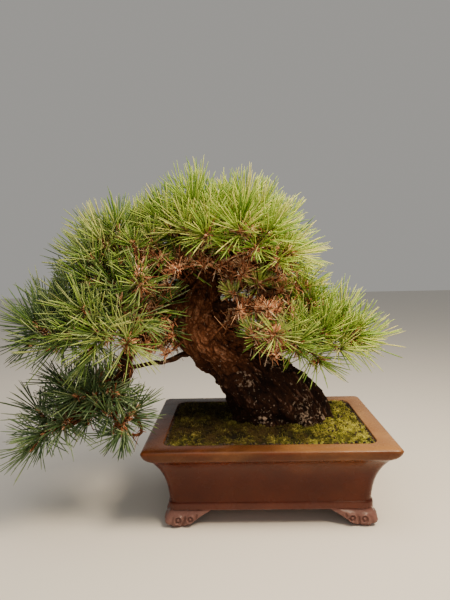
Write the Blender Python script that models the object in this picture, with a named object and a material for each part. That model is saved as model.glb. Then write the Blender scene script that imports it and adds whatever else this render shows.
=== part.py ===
"""A black pine bonsai in a footed rectangular stoneware pot.

Metres, +Z up, the front towards -Y. Everything is modelled about the middle of the pot's
footprint, then moved so that the origin is the bottom centre of the whole object's box.
"""

import math
import random

import bmesh
import bpy
import numpy as np
from mathutils import Matrix, Vector, noise

# Air left between pieces that rest on each other, and the distance at which points merge
GAP = 0.0003
WELD = 0.00002
# Edges sharper than these many degrees stay sharp: on made things, and on grown ones
SHARP_EDGE = 35.0
SOFT_EDGE = 55.0

# Pot: fired stoneware, one piece with its four cloud feet
POT_LENGTH = 0.340
POT_DEPTH = 0.250
POT_HEIGHT = 0.117
FOOT_HEIGHT = 0.0225
RIM_WIDTH = 0.025
FLOOR_THICKNESS = 0.009
INSIDE_CORNER = 0.015
DRAIN_RADIUS = 0.010
DRAIN_OFFSET = 0.070
DRAIN_SIDES = 14
# Outer face from the underside up to the rim: (inset from the rim's outline, height)
POT_OUTSIDE = (
    (0.0330, 0.0225),
    (0.0308, 0.0240),
    (0.0300, 0.0262),
    (0.0300, 0.0312),
    (0.0318, 0.0346),
    (0.0316, 0.0385),
    (0.0296, 0.0550),
    (0.0256, 0.0705),
    (0.0190, 0.0855),
    (0.0110, 0.0965),
    (0.0046, 0.1016),
    (0.0016, 0.1050),
    (0.0000, 0.1120),
    (0.0008, 0.1150),
    (0.0036, 0.1170),
)
# Radius of the outer corners: (height, radius)
CORNER_RADII = ((0.090, 0.012), (0.102, 0.016), (0.107, 0.011), (0.113, 0.006))
# Inner face from the rim down to the floor
POT_INSIDE = (
    (0.0235, 0.1166),
    (0.0260, 0.1145),
    (0.0300, 0.0950),
    (0.0390, 0.0600),
    (0.0450, FOOT_HEIGHT + FLOOR_THICKNESS),
)

# Cloud foot: outline of one wing, (distance from the foot's outer end, height)
FOOT_OUTLINE = (
    (0.0000, 0.0100),
    (0.0010, 0.0045),
    (0.0040, 0.0014),
    (0.0085, 0.0000),
    (0.0225, 0.0000),
    (0.0320, 0.0030),
    (0.0385, 0.0070),
    (0.0445, 0.0125),
    (0.0510, 0.0170),
    (0.0590, 0.0215),
    (0.0610, 0.0245),
    (0.0040, 0.0245),
    (0.0010, 0.0160),
)
FOOT_OVERHANG = 0.0055
# The side wings stand back by this, so that no face of theirs coincides with the front's
FOOT_STEP = 0.0008
FOOT_THICKNESS = 0.015

# Drain screens lying on the pot's floor, over the two holes
SCREEN_SIDE = 0.036
SCREEN_THICKNESS = 0.0012
SCREEN_BAR = 0.0024
SCREEN_BARS = 3

# Soil and the moss that covers it
SOIL_CLEARANCE = 0.0006
TRUNK_CLEARANCE = 0.00045
SOIL_EDGE_HEIGHT = 0.1120
MOUND_HEIGHT = 0.0090
MOSS_THICKNESS = 0.0050
MOSS_EDGE_THICKNESS = 0.0023
MOSS_EDGE_POWER = 6
MOSS_BUMP = 0.0016
MOSS_BUMP_SIZE = 0.020
# Rings of the soil's and the moss's top, as shares of the way out, and steps along each side
SOIL_SHARES = (1.0, 0.80, 0.55, 0.25)
MOSS_SHARES = (1.0, 0.95, 0.82, 0.66, 0.48, 0.26)
EDGE_STEPS = (5, 3)

# Trunk: (x, y, z, half width, half depth) up its middle
TRUNK = (
    (0.024, 0.004, 0.078, 0.058, 0.042),
    (0.024, 0.004, 0.106, 0.073, 0.054),
    (0.019, 0.002, 0.126, 0.069, 0.052),
    (-0.001, 0.000, 0.160, 0.060, 0.048),
    (-0.027, 0.000, 0.192, 0.047, 0.044),
    (-0.051, 0.000, 0.217, 0.040, 0.040),
    (-0.074, 0.000, 0.236, 0.042, 0.041),
    (-0.090, 0.000, 0.257, 0.044, 0.040),
    (-0.093, 0.001, 0.282, 0.036, 0.034),
    (-0.091, 0.001, 0.306, 0.028, 0.027),
    (-0.087, 0.002, 0.330, 0.020, 0.020),
    (-0.080, 0.002, 0.356, 0.0135, 0.0135),
    (-0.067, 0.000, 0.390, 0.0095, 0.0095),
    (-0.055, -0.003, 0.425, 0.0050, 0.0050),
)
# Old shoulder on the trunk's right, where a second stem was once cut away
SHOULDER = (
    (0.052, 0.006, 0.078, 0.040, 0.036),
    (0.056, 0.006, 0.108, 0.044, 0.040),
    (0.051, 0.006, 0.136, 0.041, 0.037),
    (0.038, 0.006, 0.160, 0.036, 0.034),
    (0.023, 0.005, 0.182, 0.028, 0.030),
    (0.014, 0.004, 0.203, 0.018, 0.022),
    (0.008, 0.002, 0.223, 0.007, 0.008),
)
TRUNK_SIDES = 16
TRUNK_RINGS = 17
SHOULDER_SIDES = 12
SHOULDER_RINGS = 8
ROOT_LOBES = 7
ROOT_SWELL = 0.10
ROOT_FADE = 0.035
ROOT_TURN = 0.6
LEAN_START = 0.050
BARK_LOBES = 5
BARK_SWELL = 0.045
# How far the lobes of the bark turn round the trunk, in radians per metre of height
BARK_TWIST = 90.0

# Limbs: (x, y, z, radius) from inside the trunk outwards
LIMBS = {
    "cascade": (
        (-0.096, -0.005, 0.264, 0.012),
        (-0.140, -0.030, 0.270, 0.010),
        (-0.177, -0.052, 0.257, 0.009),
        (-0.194, -0.060, 0.228, 0.008),
        (-0.203, -0.062, 0.196, 0.0068),
        (-0.232, -0.063, 0.170, 0.0052),
        (-0.276, -0.064, 0.148, 0.0034),
    ),
    "under_twig": (
        (-0.100, -0.008, 0.230, 0.0042),
        (-0.136, -0.026, 0.219, 0.0034),
        (-0.168, -0.046, 0.214, 0.0030),
        (-0.199, -0.061, 0.216, 0.0026),
    ),
    "left": (
        (-0.094, 0.000, 0.288, 0.013),
        (-0.150, -0.024, 0.297, 0.010),
        (-0.200, -0.045, 0.288, 0.008),
        (-0.250, -0.054, 0.276, 0.0058),
        (-0.300, -0.056, 0.262, 0.0034),
    ),
    "upper_left": (
        (-0.088, 0.000, 0.322, 0.011),
        (-0.124, 0.003, 0.350, 0.0085),
        (-0.166, -0.006, 0.365, 0.0064),
        (-0.214, -0.015, 0.366, 0.0034),
    ),
    "right": (
        (-0.082, -0.004, 0.280, 0.010),
        (-0.030, -0.012, 0.294, 0.0076),
        (0.022, -0.018, 0.291, 0.0060),
        (0.066, -0.016, 0.272, 0.0048),
        (0.110, -0.004, 0.254, 0.0034),
    ),
    "right_front": (
        (-0.078, -0.014, 0.254, 0.0085),
        (-0.038, -0.044, 0.255, 0.0066),
        (0.002, -0.058, 0.248, 0.0050),
        (0.036, -0.064, 0.236, 0.0034),
    ),
    "back": (
        (-0.086, 0.008, 0.310, 0.0105),
        (-0.078, 0.050, 0.328, 0.0080),
        (-0.052, 0.084, 0.331, 0.0060),
        (-0.012, 0.104, 0.322, 0.0034),
    ),
    "crown": (
        (-0.078, 0.002, 0.358, 0.0095),
        (-0.046, -0.006, 0.386, 0.0066),
        (-0.006, -0.010, 0.398, 0.0034),
    ),
    "leader": (
        (-0.062, 0.000, 0.404, 0.0080),
        (-0.072, 0.003, 0.424, 0.0058),
        (-0.096, 0.006, 0.436, 0.0034),
    ),
}

# Foliage pads: limbs that feed the pad, middle of its dome, its three radii, how far its left
# side hangs (degrees), how far round from the top its shoots go (degrees), and how many sprays
PADS = {
    "crown": (("crown", "leader"), (-0.056, 0.000, 0.392), (0.096, 0.082, 0.060), -10, 94, 12),
    "upper_left": (("upper_left",), (-0.190, -0.014, 0.350), (0.074, 0.072, 0.070), 8, 100, 8),
    "left": (("left",), (-0.244, -0.052, 0.280), (0.096, 0.066, 0.042), 10, 118, 9),
    "cascade": (("cascade",), (-0.266, -0.066, 0.154), (0.066, 0.042, 0.036), 24, 114, 6),
    "cascade_foot": (("cascade",), (-0.194, -0.084, 0.142), (0.018, 0.020, 0.032), 0, 150, 2),
    "right": (("right",), (0.087, -0.004, 0.247), (0.066, 0.064, 0.035), -14, 106, 8),
    "right_front": (("right_front",), (0.012, -0.070, 0.252), (0.040, 0.026, 0.020), -8, 90, 3),
    "back": (("back",), (-0.048, 0.094, 0.322), (0.092, 0.046, 0.050), -4, 106, 6),
}
UP_BIAS = 0.35
# Any direction that no shoot heads in
OBLIQUE = (0.31, 0.95, 0.05)
GOLDEN_ANGLE = math.radians(137.508)
FIRST_SHOOT_ANGLE = 0.7

# Twigs: a twig is at most TWIG_SHARE as thick as its limb, and the roots of a pad's twigs
# spread along the limb by TWIG_SPREAD of a step from one to the next
TWIG_ROOT_RADIUS = 0.0034
TWIG_SHARE = 0.7
TWIG_BEND = 0.45
TWIG_NECK = 0.004
TWIG_STEP = 0.046
TWIG_SPREAD = 0.410

# Sprays: a slim core with needles round it, from NEEDLE_START to NEEDLE_STOP of its length
CORE_LENGTH = 0.026
CORE_BASE_RADIUS = 0.0023
CORE_TIP_RADIUS = 0.0017
CORE_SIDES = 5
CORE_CLEARANCE = 0.0014
SLIDE = 0.003
MOST_SLIDES = 8
NEEDLE_LENGTH = 0.057
NEEDLE_RADIUS = 0.0009
NEEDLE_SIDES = 3
NEEDLES_PER_SPRAY = 15
NEEDLE_START = 0.30
NEEDLE_STOP = 0.94
NEEDLE_SHORTEST = 0.88
NEEDLE_LONGEST = 1.04
# Angle from the shoot's heading, in degrees, at its foot and at its tip, and how far it varies
FOOT_ANGLE = 104
TIP_ANGLE = 20
ANGLE_JITTER = 9
TURN_JITTER = 0.25
# Tries for each needle, each a little wilder than the last
NEEDLE_TRIES = 70
WILDNESS_STEP = 1 / 12
NEEDLE_CLEARANCE = 0.0005
# Needles of one spray may meet at their roots, and keep this clear from OWN_START outwards
OWN_CLEARANCE = 0.0003
OWN_START = 0.3
GROUND_CLEARANCE = 0.006
FLOOR_CLEARANCE = 0.020
SEED = 41


def new_collection(name):
    """A collection linked to the scene."""
    collection = bpy.data.collections.new(name)
    bpy.context.scene.collection.children.link(collection)
    return collection


def make_material(name, colour, roughness, metallic=0.0):
    """A Principled material in one plain colour."""
    material = bpy.data.materials.new(name)
    material.use_nodes = True
    shader = material.node_tree.nodes["Principled BSDF"]
    shader.inputs["Base Color"].default_value = (*colour, 1.0)
    shader.inputs["Roughness"].default_value = roughness
    shader.inputs["Metallic"].default_value = metallic
    return material


def add_object(name, mesh, collection, material=None):
    """An object for the mesh, in the collection."""
    obj = bpy.data.objects.new(name, mesh)
    collection.objects.link(obj)
    if material is not None:
        mesh.materials.clear()
        mesh.materials.append(material)
    return obj


def mesh_from(bm, name):
    """Turns a bmesh into a mesh and frees it."""
    mesh = bpy.data.meshes.new(name)
    bm.to_mesh(mesh)
    bm.free()
    return mesh


def shade(obj, angle=SHARP_EDGE):
    """Smooth shading that keeps edges sharper than the angle."""
    obj.data.shade_smooth()
    obj.data.set_sharp_from_angle(angle=math.radians(angle))


def boolean(obj, operation, other=None, group=None):
    """Adds a Boolean with one object or a whole collection."""
    modifier = obj.modifiers.new(operation.title(), "BOOLEAN")
    modifier.operation = operation
    modifier.solver = "EXACT"
    if group is None:
        modifier.object = other
    else:
        modifier.operand_type = "COLLECTION"
        modifier.collection = group


def remove_collection(collection):
    """Removes a helper collection with its objects."""
    for obj in list(collection.objects):
        bpy.data.objects.remove(obj)
    bpy.data.collections.remove(collection)


def apply_modifiers(obj):
    """Replaces the object's mesh by the one that its modifiers make."""
    bpy.context.view_layer.update()
    graph = bpy.context.evaluated_depsgraph_get()
    mesh = bpy.data.meshes.new_from_object(obj.evaluated_get(graph))
    obj.modifiers.clear()
    obj.data = mesh


def join_all(obj, group):
    """Joins a collection's objects to obj in one Boolean union, then removes them."""
    boolean(obj, "UNION", group=group)
    apply_modifiers(obj)
    remove_collection(group)


def rounded_ring(half_x, half_y, radius, corner_steps, long_steps=1, short_steps=1):
    """Points of a rounded rectangle, anticlockwise from above, as (n, 2)."""
    points = []
    for turn, (sx, sy) in enumerate(((1, 1), (-1, 1), (-1, -1), (1, -1))):
        centre = np.array((sx * (half_x - radius), sy * (half_y - radius)))
        angles = np.radians(90 * turn + np.linspace(0, 90, corner_steps + 1))
        arc = centre + radius * np.stack((np.cos(angles), np.sin(angles)), 1)
        points.extend(arc)
        steps = long_steps if turn % 2 == 0 else short_steps
        straight = 2 * ((half_x if turn % 2 == 0 else half_y) - radius)
        heading = np.array((-np.sin(angles[-1]), np.cos(angles[-1])))
        for step in range(1, steps):
            points.append(arc[-1] + heading * straight * step / steps)
    return np.array(points)


def loft(name, rings):
    """A closed mesh through rings of equal count, (rings, points, 3), with both ends capped.

    Each side face is split along the same diagonal, so that a grown copy stays parallel.
    """
    rings = np.asarray(rings)
    count, around = rings.shape[:2]
    ids = np.arange(count * around).reshape(count, around)
    low, high = ids[:-1], ids[1:]
    next_low, next_high = np.roll(low, -1, 1), np.roll(high, -1, 1)
    first = np.stack((low, next_low, next_high), -1).reshape(-1, 3)
    second = np.stack((low, next_high, high), -1).reshape(-1, 3)
    faces = np.vstack((first, second)).tolist()
    faces.append(ids[0, ::-1].tolist())
    faces.append(ids[-1].tolist())
    mesh = bpy.data.meshes.new(name)
    mesh.from_pydata(rings.reshape(-1, 3).tolist(), [], faces)
    return mesh


def smooth_path(points, steps):
    """Catmull-Rom curve through the points, as (steps + 1, columns)."""
    points = np.asarray(points, float)
    padded = np.vstack((2 * points[0] - points[1], points, 2 * points[-1] - points[-2]))
    at = np.linspace(0, len(points) - 1, steps + 1)
    index = np.minimum(at.astype(int), len(points) - 2)
    t = (at - index)[:, None]
    a, b, c, d = (padded[index + k] for k in range(4))
    return 0.5 * (2 * b + (c - a) * t + (2 * a - 5 * b + 4 * c - d) * t**2 + (3 * b - a - 3 * c + d) * t**3)


def unit(vector):
    return vector / np.linalg.norm(vector)


def curve_object(name, points, collection, bevel=None, cyclic=False, extrude=0.0):
    """A POLY curve turned into a mesh object with its caps welded on.

    points are (x, y, z, radius) rows; bevel is the resolution of a round section, or None
    for a flat outline that is filled and extruded both ways.
    """
    curve = bpy.data.curves.new(name, "CURVE")
    if bevel is None:
        curve.dimensions = "2D"
        curve.fill_mode = "BOTH"
        curve.extrude = extrude
    else:
        curve.dimensions = "3D"
        curve.bevel_depth = 1.0
        curve.bevel_resolution = bevel
        curve.use_fill_caps = True
    spline = curve.splines.new("POLY")
    spline.points.add(len(points) - 1)
    for point, (x, y, z, radius) in zip(spline.points, points):
        point.co = (x, y, z, 1.0)
        point.radius = radius
    spline.use_cyclic_u = cyclic
    drawn = bpy.data.objects.new(name, curve)
    collection.objects.link(drawn)
    bpy.context.view_layer.update()
    graph = bpy.context.evaluated_depsgraph_get()
    mesh = bpy.data.meshes.new_from_object(drawn.evaluated_get(graph))
    bpy.data.objects.remove(drawn)
    bm = bmesh.new()
    bm.from_mesh(mesh)
    bmesh.ops.remove_doubles(bm, verts=bm.verts, dist=WELD)
    bmesh.ops.recalc_face_normals(bm, faces=bm.faces)
    bm.to_mesh(mesh)
    bm.free()
    return add_object(name, mesh, collection)


def tapered_rod(name, start, end, start_radius, end_radius, sides, collection):
    """A cone or tapered cylinder between two points."""
    start, end = Vector(start), Vector(end)
    bm = bmesh.new()
    bmesh.ops.create_cone(
        bm,
        cap_ends=True,
        segments=sides,
        radius1=start_radius,
        radius2=end_radius,
        depth=(end - start).length,
    )
    turn = (end - start).to_track_quat("Z", "Y").to_matrix().to_4x4()
    bm.transform(Matrix.Translation((start + end) / 2) @ turn)
    return add_object(name, mesh_from(bm, name), collection)


def hide_cutter(obj):
    """Marks an object as a cutter."""
    obj.hide_render = True
    obj.display_type = "WIRE"


# Pot


def pot_ring(inset, z, corner):
    """The pot's outline taken in by inset, at height z."""
    ring = rounded_ring(POT_LENGTH / 2 - inset, POT_DEPTH / 2 - inset, corner, corner_steps=3)
    return np.column_stack((ring, np.full(len(ring), z)))


def foot_wing(name, sx, sy, along_x, collection):
    """One wing of a corner foot: the outline extruded by the foot's thickness, then turned."""
    outline = [(distance, height, 0.0, 1.0) for distance, height in FOOT_OUTLINE]
    wing = curve_object(name, outline, collection, cyclic=True, extrude=FOOT_THICKNESS / 2)
    overhang = FOOT_OVERHANG if along_x else FOOT_OVERHANG - FOOT_STEP
    end_x = sx * (POT_LENGTH / 2 - POT_OUTSIDE[0][0] + overhang)
    end_y = sy * (POT_DEPTH / 2 - POT_OUTSIDE[0][0] + overhang)
    if along_x:
        columns = ((-sx, 0, 0), (0, 0, 1), (0, -sy, 0))
        origin = (end_x, end_y - sy * FOOT_THICKNESS / 2, 0.0)
    else:
        columns = ((0, -sy, 0), (0, 0, 1), (-sx, 0, 0))
        origin = (end_x - sx * FOOT_THICKNESS / 2, end_y, 0.0)
    turn = Matrix(columns).transposed().to_4x4()
    bm = bmesh.new()
    bm.from_mesh(wing.data)
    bm.transform(Matrix.Translation(origin) @ turn)
    bmesh.ops.recalc_face_normals(bm, faces=bm.faces)
    bm.to_mesh(wing.data)
    bm.free()


def make_pot(parts, cutters, material):
    """Footed rectangular pot with a flared lip, a band round its base and two drain holes."""
    rings = [pot_ring(inset, z, np.interp(z, *zip(*CORNER_RADII))) for inset, z in POT_OUTSIDE]
    rings += [pot_ring(inset, z, INSIDE_CORNER) for inset, z in POT_INSIDE]
    pot = add_object("pot", loft("pot", rings), parts, material)
    feet = new_collection("feet")
    for sx in (-1, 1):
        for sy in (-1, 1):
            for along_x in (True, False):
                foot_wing("foot_wing", sx, sy, along_x, feet)
    join_all(pot, feet)
    for x in (-DRAIN_OFFSET, DRAIN_OFFSET):
        ends = ((x, 0.0, 0.0), (x, 0.0, FOOT_HEIGHT + 3 * FLOOR_THICKNESS))
        radii = (DRAIN_RADIUS, DRAIN_RADIUS)
        drill = tapered_rod("drain_cutter", *ends, *radii, DRAIN_SIDES, cutters)
        hide_cutter(drill)
        boolean(pot, "DIFFERENCE", other=drill)
    shade(pot)


def screen_bar(name, centre, size, collection):
    """One straight bar of a screen."""
    bm = bmesh.new()
    bmesh.ops.create_cube(bm, size=1.0)
    bmesh.ops.scale(bm, vec=size, verts=bm.verts)
    bmesh.ops.translate(bm, vec=centre, verts=bm.verts)
    return add_object(name, mesh_from(bm, name), collection)


def make_screen(name, x, parts, material):
    """A square lattice of crossing bars on the pot's floor, over one drain hole."""
    z = FOOT_HEIGHT + FLOOR_THICKNESS + GAP + SCREEN_THICKNESS / 2
    spread = (SCREEN_SIDE - SCREEN_BAR) / 2
    long_bar = (SCREEN_SIDE, SCREEN_BAR, SCREEN_THICKNESS)
    cross_bar = (SCREEN_BAR, SCREEN_SIDE, SCREEN_THICKNESS)
    screen = screen_bar(name, (x, -spread, z), long_bar, parts)
    screen.data.materials.append(material)
    bars = new_collection("bars")
    for offset in np.linspace(-spread, spread, SCREEN_BARS):
        screen_bar("bar", (x + offset, 0.0, z), cross_bar, bars)
        if offset > -spread:
            screen_bar("bar", (x, offset, z), long_bar, bars)
    join_all(screen, bars)


# Soil and moss


def inside_inset(z):
    """How far the pot's inner face is from the rim's outline at height z."""
    insets, heights = zip(*reversed(POT_INSIDE))
    return float(np.interp(z, heights, insets))


def mound(x, y):
    """Rise of the soil above its edge: a low dome under the trunk."""
    half_x = POT_LENGTH / 2 - RIM_WIDTH
    half_y = POT_DEPTH / 2 - RIM_WIDTH
    edge = np.maximum(np.abs(x) / half_x, np.abs(y) / half_y)
    return MOUND_HEIGHT * (1 - np.clip(edge, 0, 1) ** 2)


def fill_ring(share, base_height, bump=0.0):
    """A ring of the soil's or the moss's top, share of the way out to the pot's wall."""
    inset = inside_inset(SOIL_EDGE_HEIGHT) + SOIL_CLEARANCE
    half_x = (POT_LENGTH / 2 - inset) * share
    half_y = (POT_DEPTH / 2 - inset) * share
    ring = rounded_ring(half_x, half_y, INSIDE_CORNER * share, 2, *EDGE_STEPS)
    heights = base_height + mound(ring[:, 0], ring[:, 1])
    if bump:
        cells = [noise.noise(Vector((x, y, 0.0)) / MOSS_BUMP_SIZE) for x, y in ring]
        heights = heights + bump * np.array(cells)
    return np.column_stack((ring, heights))


def trunk_cutters(cutters):
    """The trunk and its shoulder, a little larger, to cut their holes in the soil and moss."""
    made = []
    for name, sections, sides, rings in (
        ("trunk_cutter", TRUNK, TRUNK_SIDES, TRUNK_RINGS),
        ("shoulder_cutter", SHOULDER, SHOULDER_SIDES, SHOULDER_RINGS),
    ):
        cutter = add_object(name, stem(name, sections, sides, rings, TRUNK_CLEARANCE), cutters)
        hide_cutter(cutter)
        made.append(cutter)
    return made


def make_soil(parts, cutters, material):
    """Soil from the screens up, with a low mound and a plain hole for the trunk's foot."""
    rings = []
    base = FOOT_HEIGHT + FLOOR_THICKNESS + SCREEN_THICKNESS + 2 * GAP
    for z in (base, POT_INSIDE[3][1], POT_INSIDE[2][1]):
        inset = inside_inset(z) + SOIL_CLEARANCE
        half_x, half_y = POT_LENGTH / 2 - inset, POT_DEPTH / 2 - inset
        ring = rounded_ring(half_x, half_y, INSIDE_CORNER, 2, *EDGE_STEPS)
        rings.append(np.column_stack((ring, np.full(len(ring), z))))
    for share in SOIL_SHARES:
        rings.append(fill_ring(share, SOIL_EDGE_HEIGHT))
    soil = add_object("soil", loft("soil", rings), parts, material)
    for cutter in cutters:
        boolean(soil, "DIFFERENCE", other=cutter)


def make_moss(parts, cutters, material):
    """Moss in a bumpy sheet on the soil, thinner and smoother towards the pot's wall."""
    base = SOIL_EDGE_HEIGHT + GAP
    under = [fill_ring(share, base) for share in reversed(SOIL_SHARES)]
    over = []
    for share in MOSS_SHARES:
        edge = share**MOSS_EDGE_POWER
        thickness = MOSS_THICKNESS + edge * (MOSS_EDGE_THICKNESS - MOSS_THICKNESS)
        over.append(fill_ring(share, base + thickness, MOSS_BUMP * (1 - edge)))
    moss = add_object("moss_carpet", loft("moss_carpet", under + over), parts, material)
    for cutter in cutters:
        boolean(moss, "DIFFERENCE", other=cutter)
    shade(moss, SOFT_EDGE)


# Wood


def stem(name, sections, sides, count, grow=0.0):
    """A lobed trunk through elliptical sections square to its middle line.

    Sections lie level at the soil and tilt with the middle line above it. At angle a a point
    lies at width * cos(a) sideways and depth * sin(a) backwards, both times
    1 + swell * cos(lobes * a), and the root lobes fade with height above the soil.
    """
    path = smooth_path(sections, count)
    middles, widths, depths = path[:, :3], path[:, 3], path[:, 4]
    tangents = np.gradient(middles, axis=0)
    angles = np.linspace(0, 2 * math.pi, sides, endpoint=False)
    rings = []
    for middle, tangent, width, depth in zip(middles, tangents, widths, depths):
        lean = np.clip((middle[2] - SOIL_EDGE_HEIGHT) / LEAN_START, 0, 1)
        tangent = unit(lean * unit(tangent) + (0.0, 0.0, 1.0 - lean))
        side = unit(np.cross((0.0, 1.0, 0.0), tangent))
        back = np.cross(tangent, side)
        above = max(middle[2] - SOIL_EDGE_HEIGHT, 0.0)
        roots = ROOT_SWELL * math.exp(-above / ROOT_FADE)
        swell = 1 + roots * np.cos(ROOT_LOBES * angles + ROOT_TURN)
        swell += BARK_SWELL * np.cos(BARK_LOBES * angles + BARK_TWIST * middle[2])
        ring = (width * swell + grow)[:, None] * np.cos(angles)[:, None] * side
        ring += (depth * swell + grow)[:, None] * np.sin(angles)[:, None] * back
        rings.append(middle + ring)
    rings[0][:, 2] -= grow
    return loft(name, rings)


def pad_shoots(pad):
    """Shoot positions and directions over a pad's dome, by the golden angle from its top."""
    _, centre, radii, hang, reach, count = PADS[pad]
    lean = Matrix.Rotation(-math.radians(hang), 3, "Y")
    found = []
    for k in range(count):
        height = 1 - (k + 0.5) / count * (1 - math.cos(math.radians(reach)))
        across = math.sqrt(max(0.0, 1 - height * height))
        angle = k * GOLDEN_ANGLE + FIRST_SHOOT_ANGLE
        normal = np.array((across * math.cos(angle), across * math.sin(angle), height))
        place = np.array(centre) + np.array(lean @ Vector(normal * radii))
        outward = unit(normal / radii)
        heading = unit(np.array(lean @ Vector(outward)) + (0.0, 0.0, UP_BIAS))
        found.append((place, heading))
    return found


def limb_paths():
    """Every limb as a smooth path of (x, y, z, radius) rows."""
    return {name: smooth_path(points, 2 * (len(points) - 1)) for name, points in LIMBS.items()}


def twig_root(place, limbs, share):
    """Where a twig leaves its limb: a little back from the nearest point, at share of a step."""
    nearest = [int(np.argmin(np.linalg.norm(limb[:, :3] - place, axis=1))) for limb in limbs]
    reach = [np.linalg.norm(limb[k, :3] - place) for limb, k in zip(limbs, nearest)]
    chosen = int(np.argmin(reach))
    limb, back = limbs[chosen], max(nearest[chosen] - 2, 0)
    return (1 - share) * limb[back] + share * limb[back + 1]


def twig_path(place, heading, limbs, share):
    """A twig from the limb to the foot of the shoot: it leaves at a slant and turns to heading."""
    *root, limb_radius = twig_root(place, limbs, share)
    foot = place - heading * CORE_LENGTH
    neck = foot - heading * TWIG_NECK
    length = float(np.linalg.norm(neck - root))
    bend = neck - heading * TWIG_BEND * length
    t = np.linspace(0, 1, max(2, round(length / TWIG_STEP)) + 1)[:, None]
    line = (1 - t) ** 2 * np.array(root) + 2 * t * (1 - t) * bend + t**2 * neck
    line = np.vstack((line, foot))
    root_radius = min(limb_radius * TWIG_SHARE, TWIG_ROOT_RADIUS)
    radii = np.linspace(root_radius, CORE_BASE_RADIUS, len(line))
    return np.column_stack((line, radii))


def segment_gaps(start, end, starts, ends):
    """Shortest distance from one segment to each of many, by clamped closest points."""
    first, many = end - start, ends - starts
    offset = start - starts
    a = first @ first
    e = np.maximum(np.einsum("ij,ij->i", many, many), 1e-18)
    b = many @ first
    c = offset @ first
    f = np.einsum("ij,ij->i", many, offset)
    spread = np.maximum(a * e - b * b, 1e-18)
    s = np.clip((b * f - c * e) / spread, 0, 1)
    t = np.clip((b * s + f) / e, 0, 1)
    s = np.clip((b * t - c) / a, 0, 1)
    between = offset + s[:, None] * first - t[:, None] * many
    return np.linalg.norm(between, axis=1)


class Occupied:
    """The rods already in place, so that what comes next can be kept clear of them."""

    def __init__(self):
        self.rows = []
        self.owners = []

    def add(self, start, end, radius, owner):
        self.rows.append((*start, *end, radius))
        self.owners.append(owner)

    def add_path(self, path, owner):
        for (*start, low), (*end, high) in zip(path[:-1], path[1:]):
            self.add(start, end, max(low, high), owner)

    def gap(self, start, end, radius, chosen):
        """Least clearance from a rod to those that others with a chosen owner occupy."""
        picked = [k for k, owner in enumerate(self.owners) if chosen(owner)]
        if not picked:
            return 1.0
        rows = np.array([self.rows[k] for k in picked])
        gaps = segment_gaps(start, end, rows[:, :3], rows[:, 3:6])
        return float((gaps - rows[:, 6] - radius).min())


def occupied_by_limbs(paths):
    """Trunk, shoulder and limbs, as rods."""
    occupied = Occupied()
    for sections in (TRUNK, SHOULDER):
        path = smooth_path(sections, TRUNK_RINGS)
        thickness = path[:, 3:5].max(axis=1) * (1 + BARK_SWELL)
        occupied.add_path(np.column_stack((path[:, :3], thickness)), "wood")
    for path in paths.values():
        occupied.add_path(path, "wood")
    return occupied


def place_shoots():
    """Names, feet and headings of all shoots, their twigs, and the rods they leave occupied.

    A shoot that would touch wood or another shoot slides out along its own line.
    """
    paths = limb_paths()
    occupied = occupied_by_limbs(paths)
    shoots, twigs = [], []
    for pad, (limbs, *_) in PADS.items():
        pad_limbs = [paths[limb] for limb in limbs]
        for number, (place, heading) in enumerate(pad_shoots(pad), 1):
            name = f"{pad}_spray_{number:02d}"
            for slide in range(MOST_SLIDES):
                tip = place + heading * slide * SLIDE
                foot = tip - heading * CORE_LENGTH
                twig = twig_path(tip, heading, pad_limbs, number * TWIG_SPREAD % 1)
                clear = occupied.gap(foot, tip, CORE_BASE_RADIUS, lambda owner: True)
                for (*start, low), (*end, high) in zip(twig[:-1], twig[1:]):
                    rod = (np.array(start), np.array(end), max(low, high))
                    clear = min(clear, occupied.gap(*rod, lambda owner: owner != "wood"))
                if clear > CORE_CLEARANCE:
                    break
            occupied.add_path(twig, "wood")
            occupied.add(foot, tip, CORE_BASE_RADIUS, name)
            twigs.append(twig)
            shoots.append((name, tip, heading))
    return shoots, twigs, occupied


def make_wood(parts, twigs, material):
    """Trunk, shoulder, limbs and twigs: one woody body."""
    mesh = stem("trunk_and_branches", TRUNK, TRUNK_SIDES, TRUNK_RINGS)
    wood = add_object("trunk_and_branches", mesh, parts, material)
    limbs = new_collection("limbs")
    add_object("shoulder", stem("shoulder", SHOULDER, SHOULDER_SIDES, SHOULDER_RINGS), limbs)
    for name, path in limb_paths().items():
        curve_object(name, path, limbs, bevel=1)
    for path in twigs:
        curve_object("twig", path, limbs, bevel=0)
    join_all(wood, limbs)
    shade(wood, SOFT_EDGE)


# Needle sprays


def above_ground(end):
    """True where a needle's end is off the moss, the pot's rim and the floor."""
    over_x = abs(end[0]) < POT_LENGTH / 2 + GROUND_CLEARANCE
    over_y = abs(end[1]) < POT_DEPTH / 2 + GROUND_CLEARANCE
    over_moss = POT_HEIGHT + MOSS_THICKNESS + GROUND_CLEARANCE
    return end[2] > (over_moss if over_x and over_y else FLOOR_CLEARANCE)


def needle_direction(heading, share, turn, rng, wildness):
    """Needles at the shoot's foot stand square to it, and those at its tip point forward."""
    jitter = rng.uniform(-ANGLE_JITTER, ANGLE_JITTER) * wildness
    polar = math.radians(FOOT_ANGLE + (TIP_ANGLE - FOOT_ANGLE) * share + jitter)
    azimuth = turn + rng.uniform(-TURN_JITTER, TURN_JITTER) * wildness
    side = unit(np.cross(heading, OBLIQUE))
    other = np.cross(heading, side)
    spread = math.cos(azimuth) * side + math.sin(azimuth) * other
    return math.cos(polar) * heading + math.sin(polar) * spread


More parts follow.
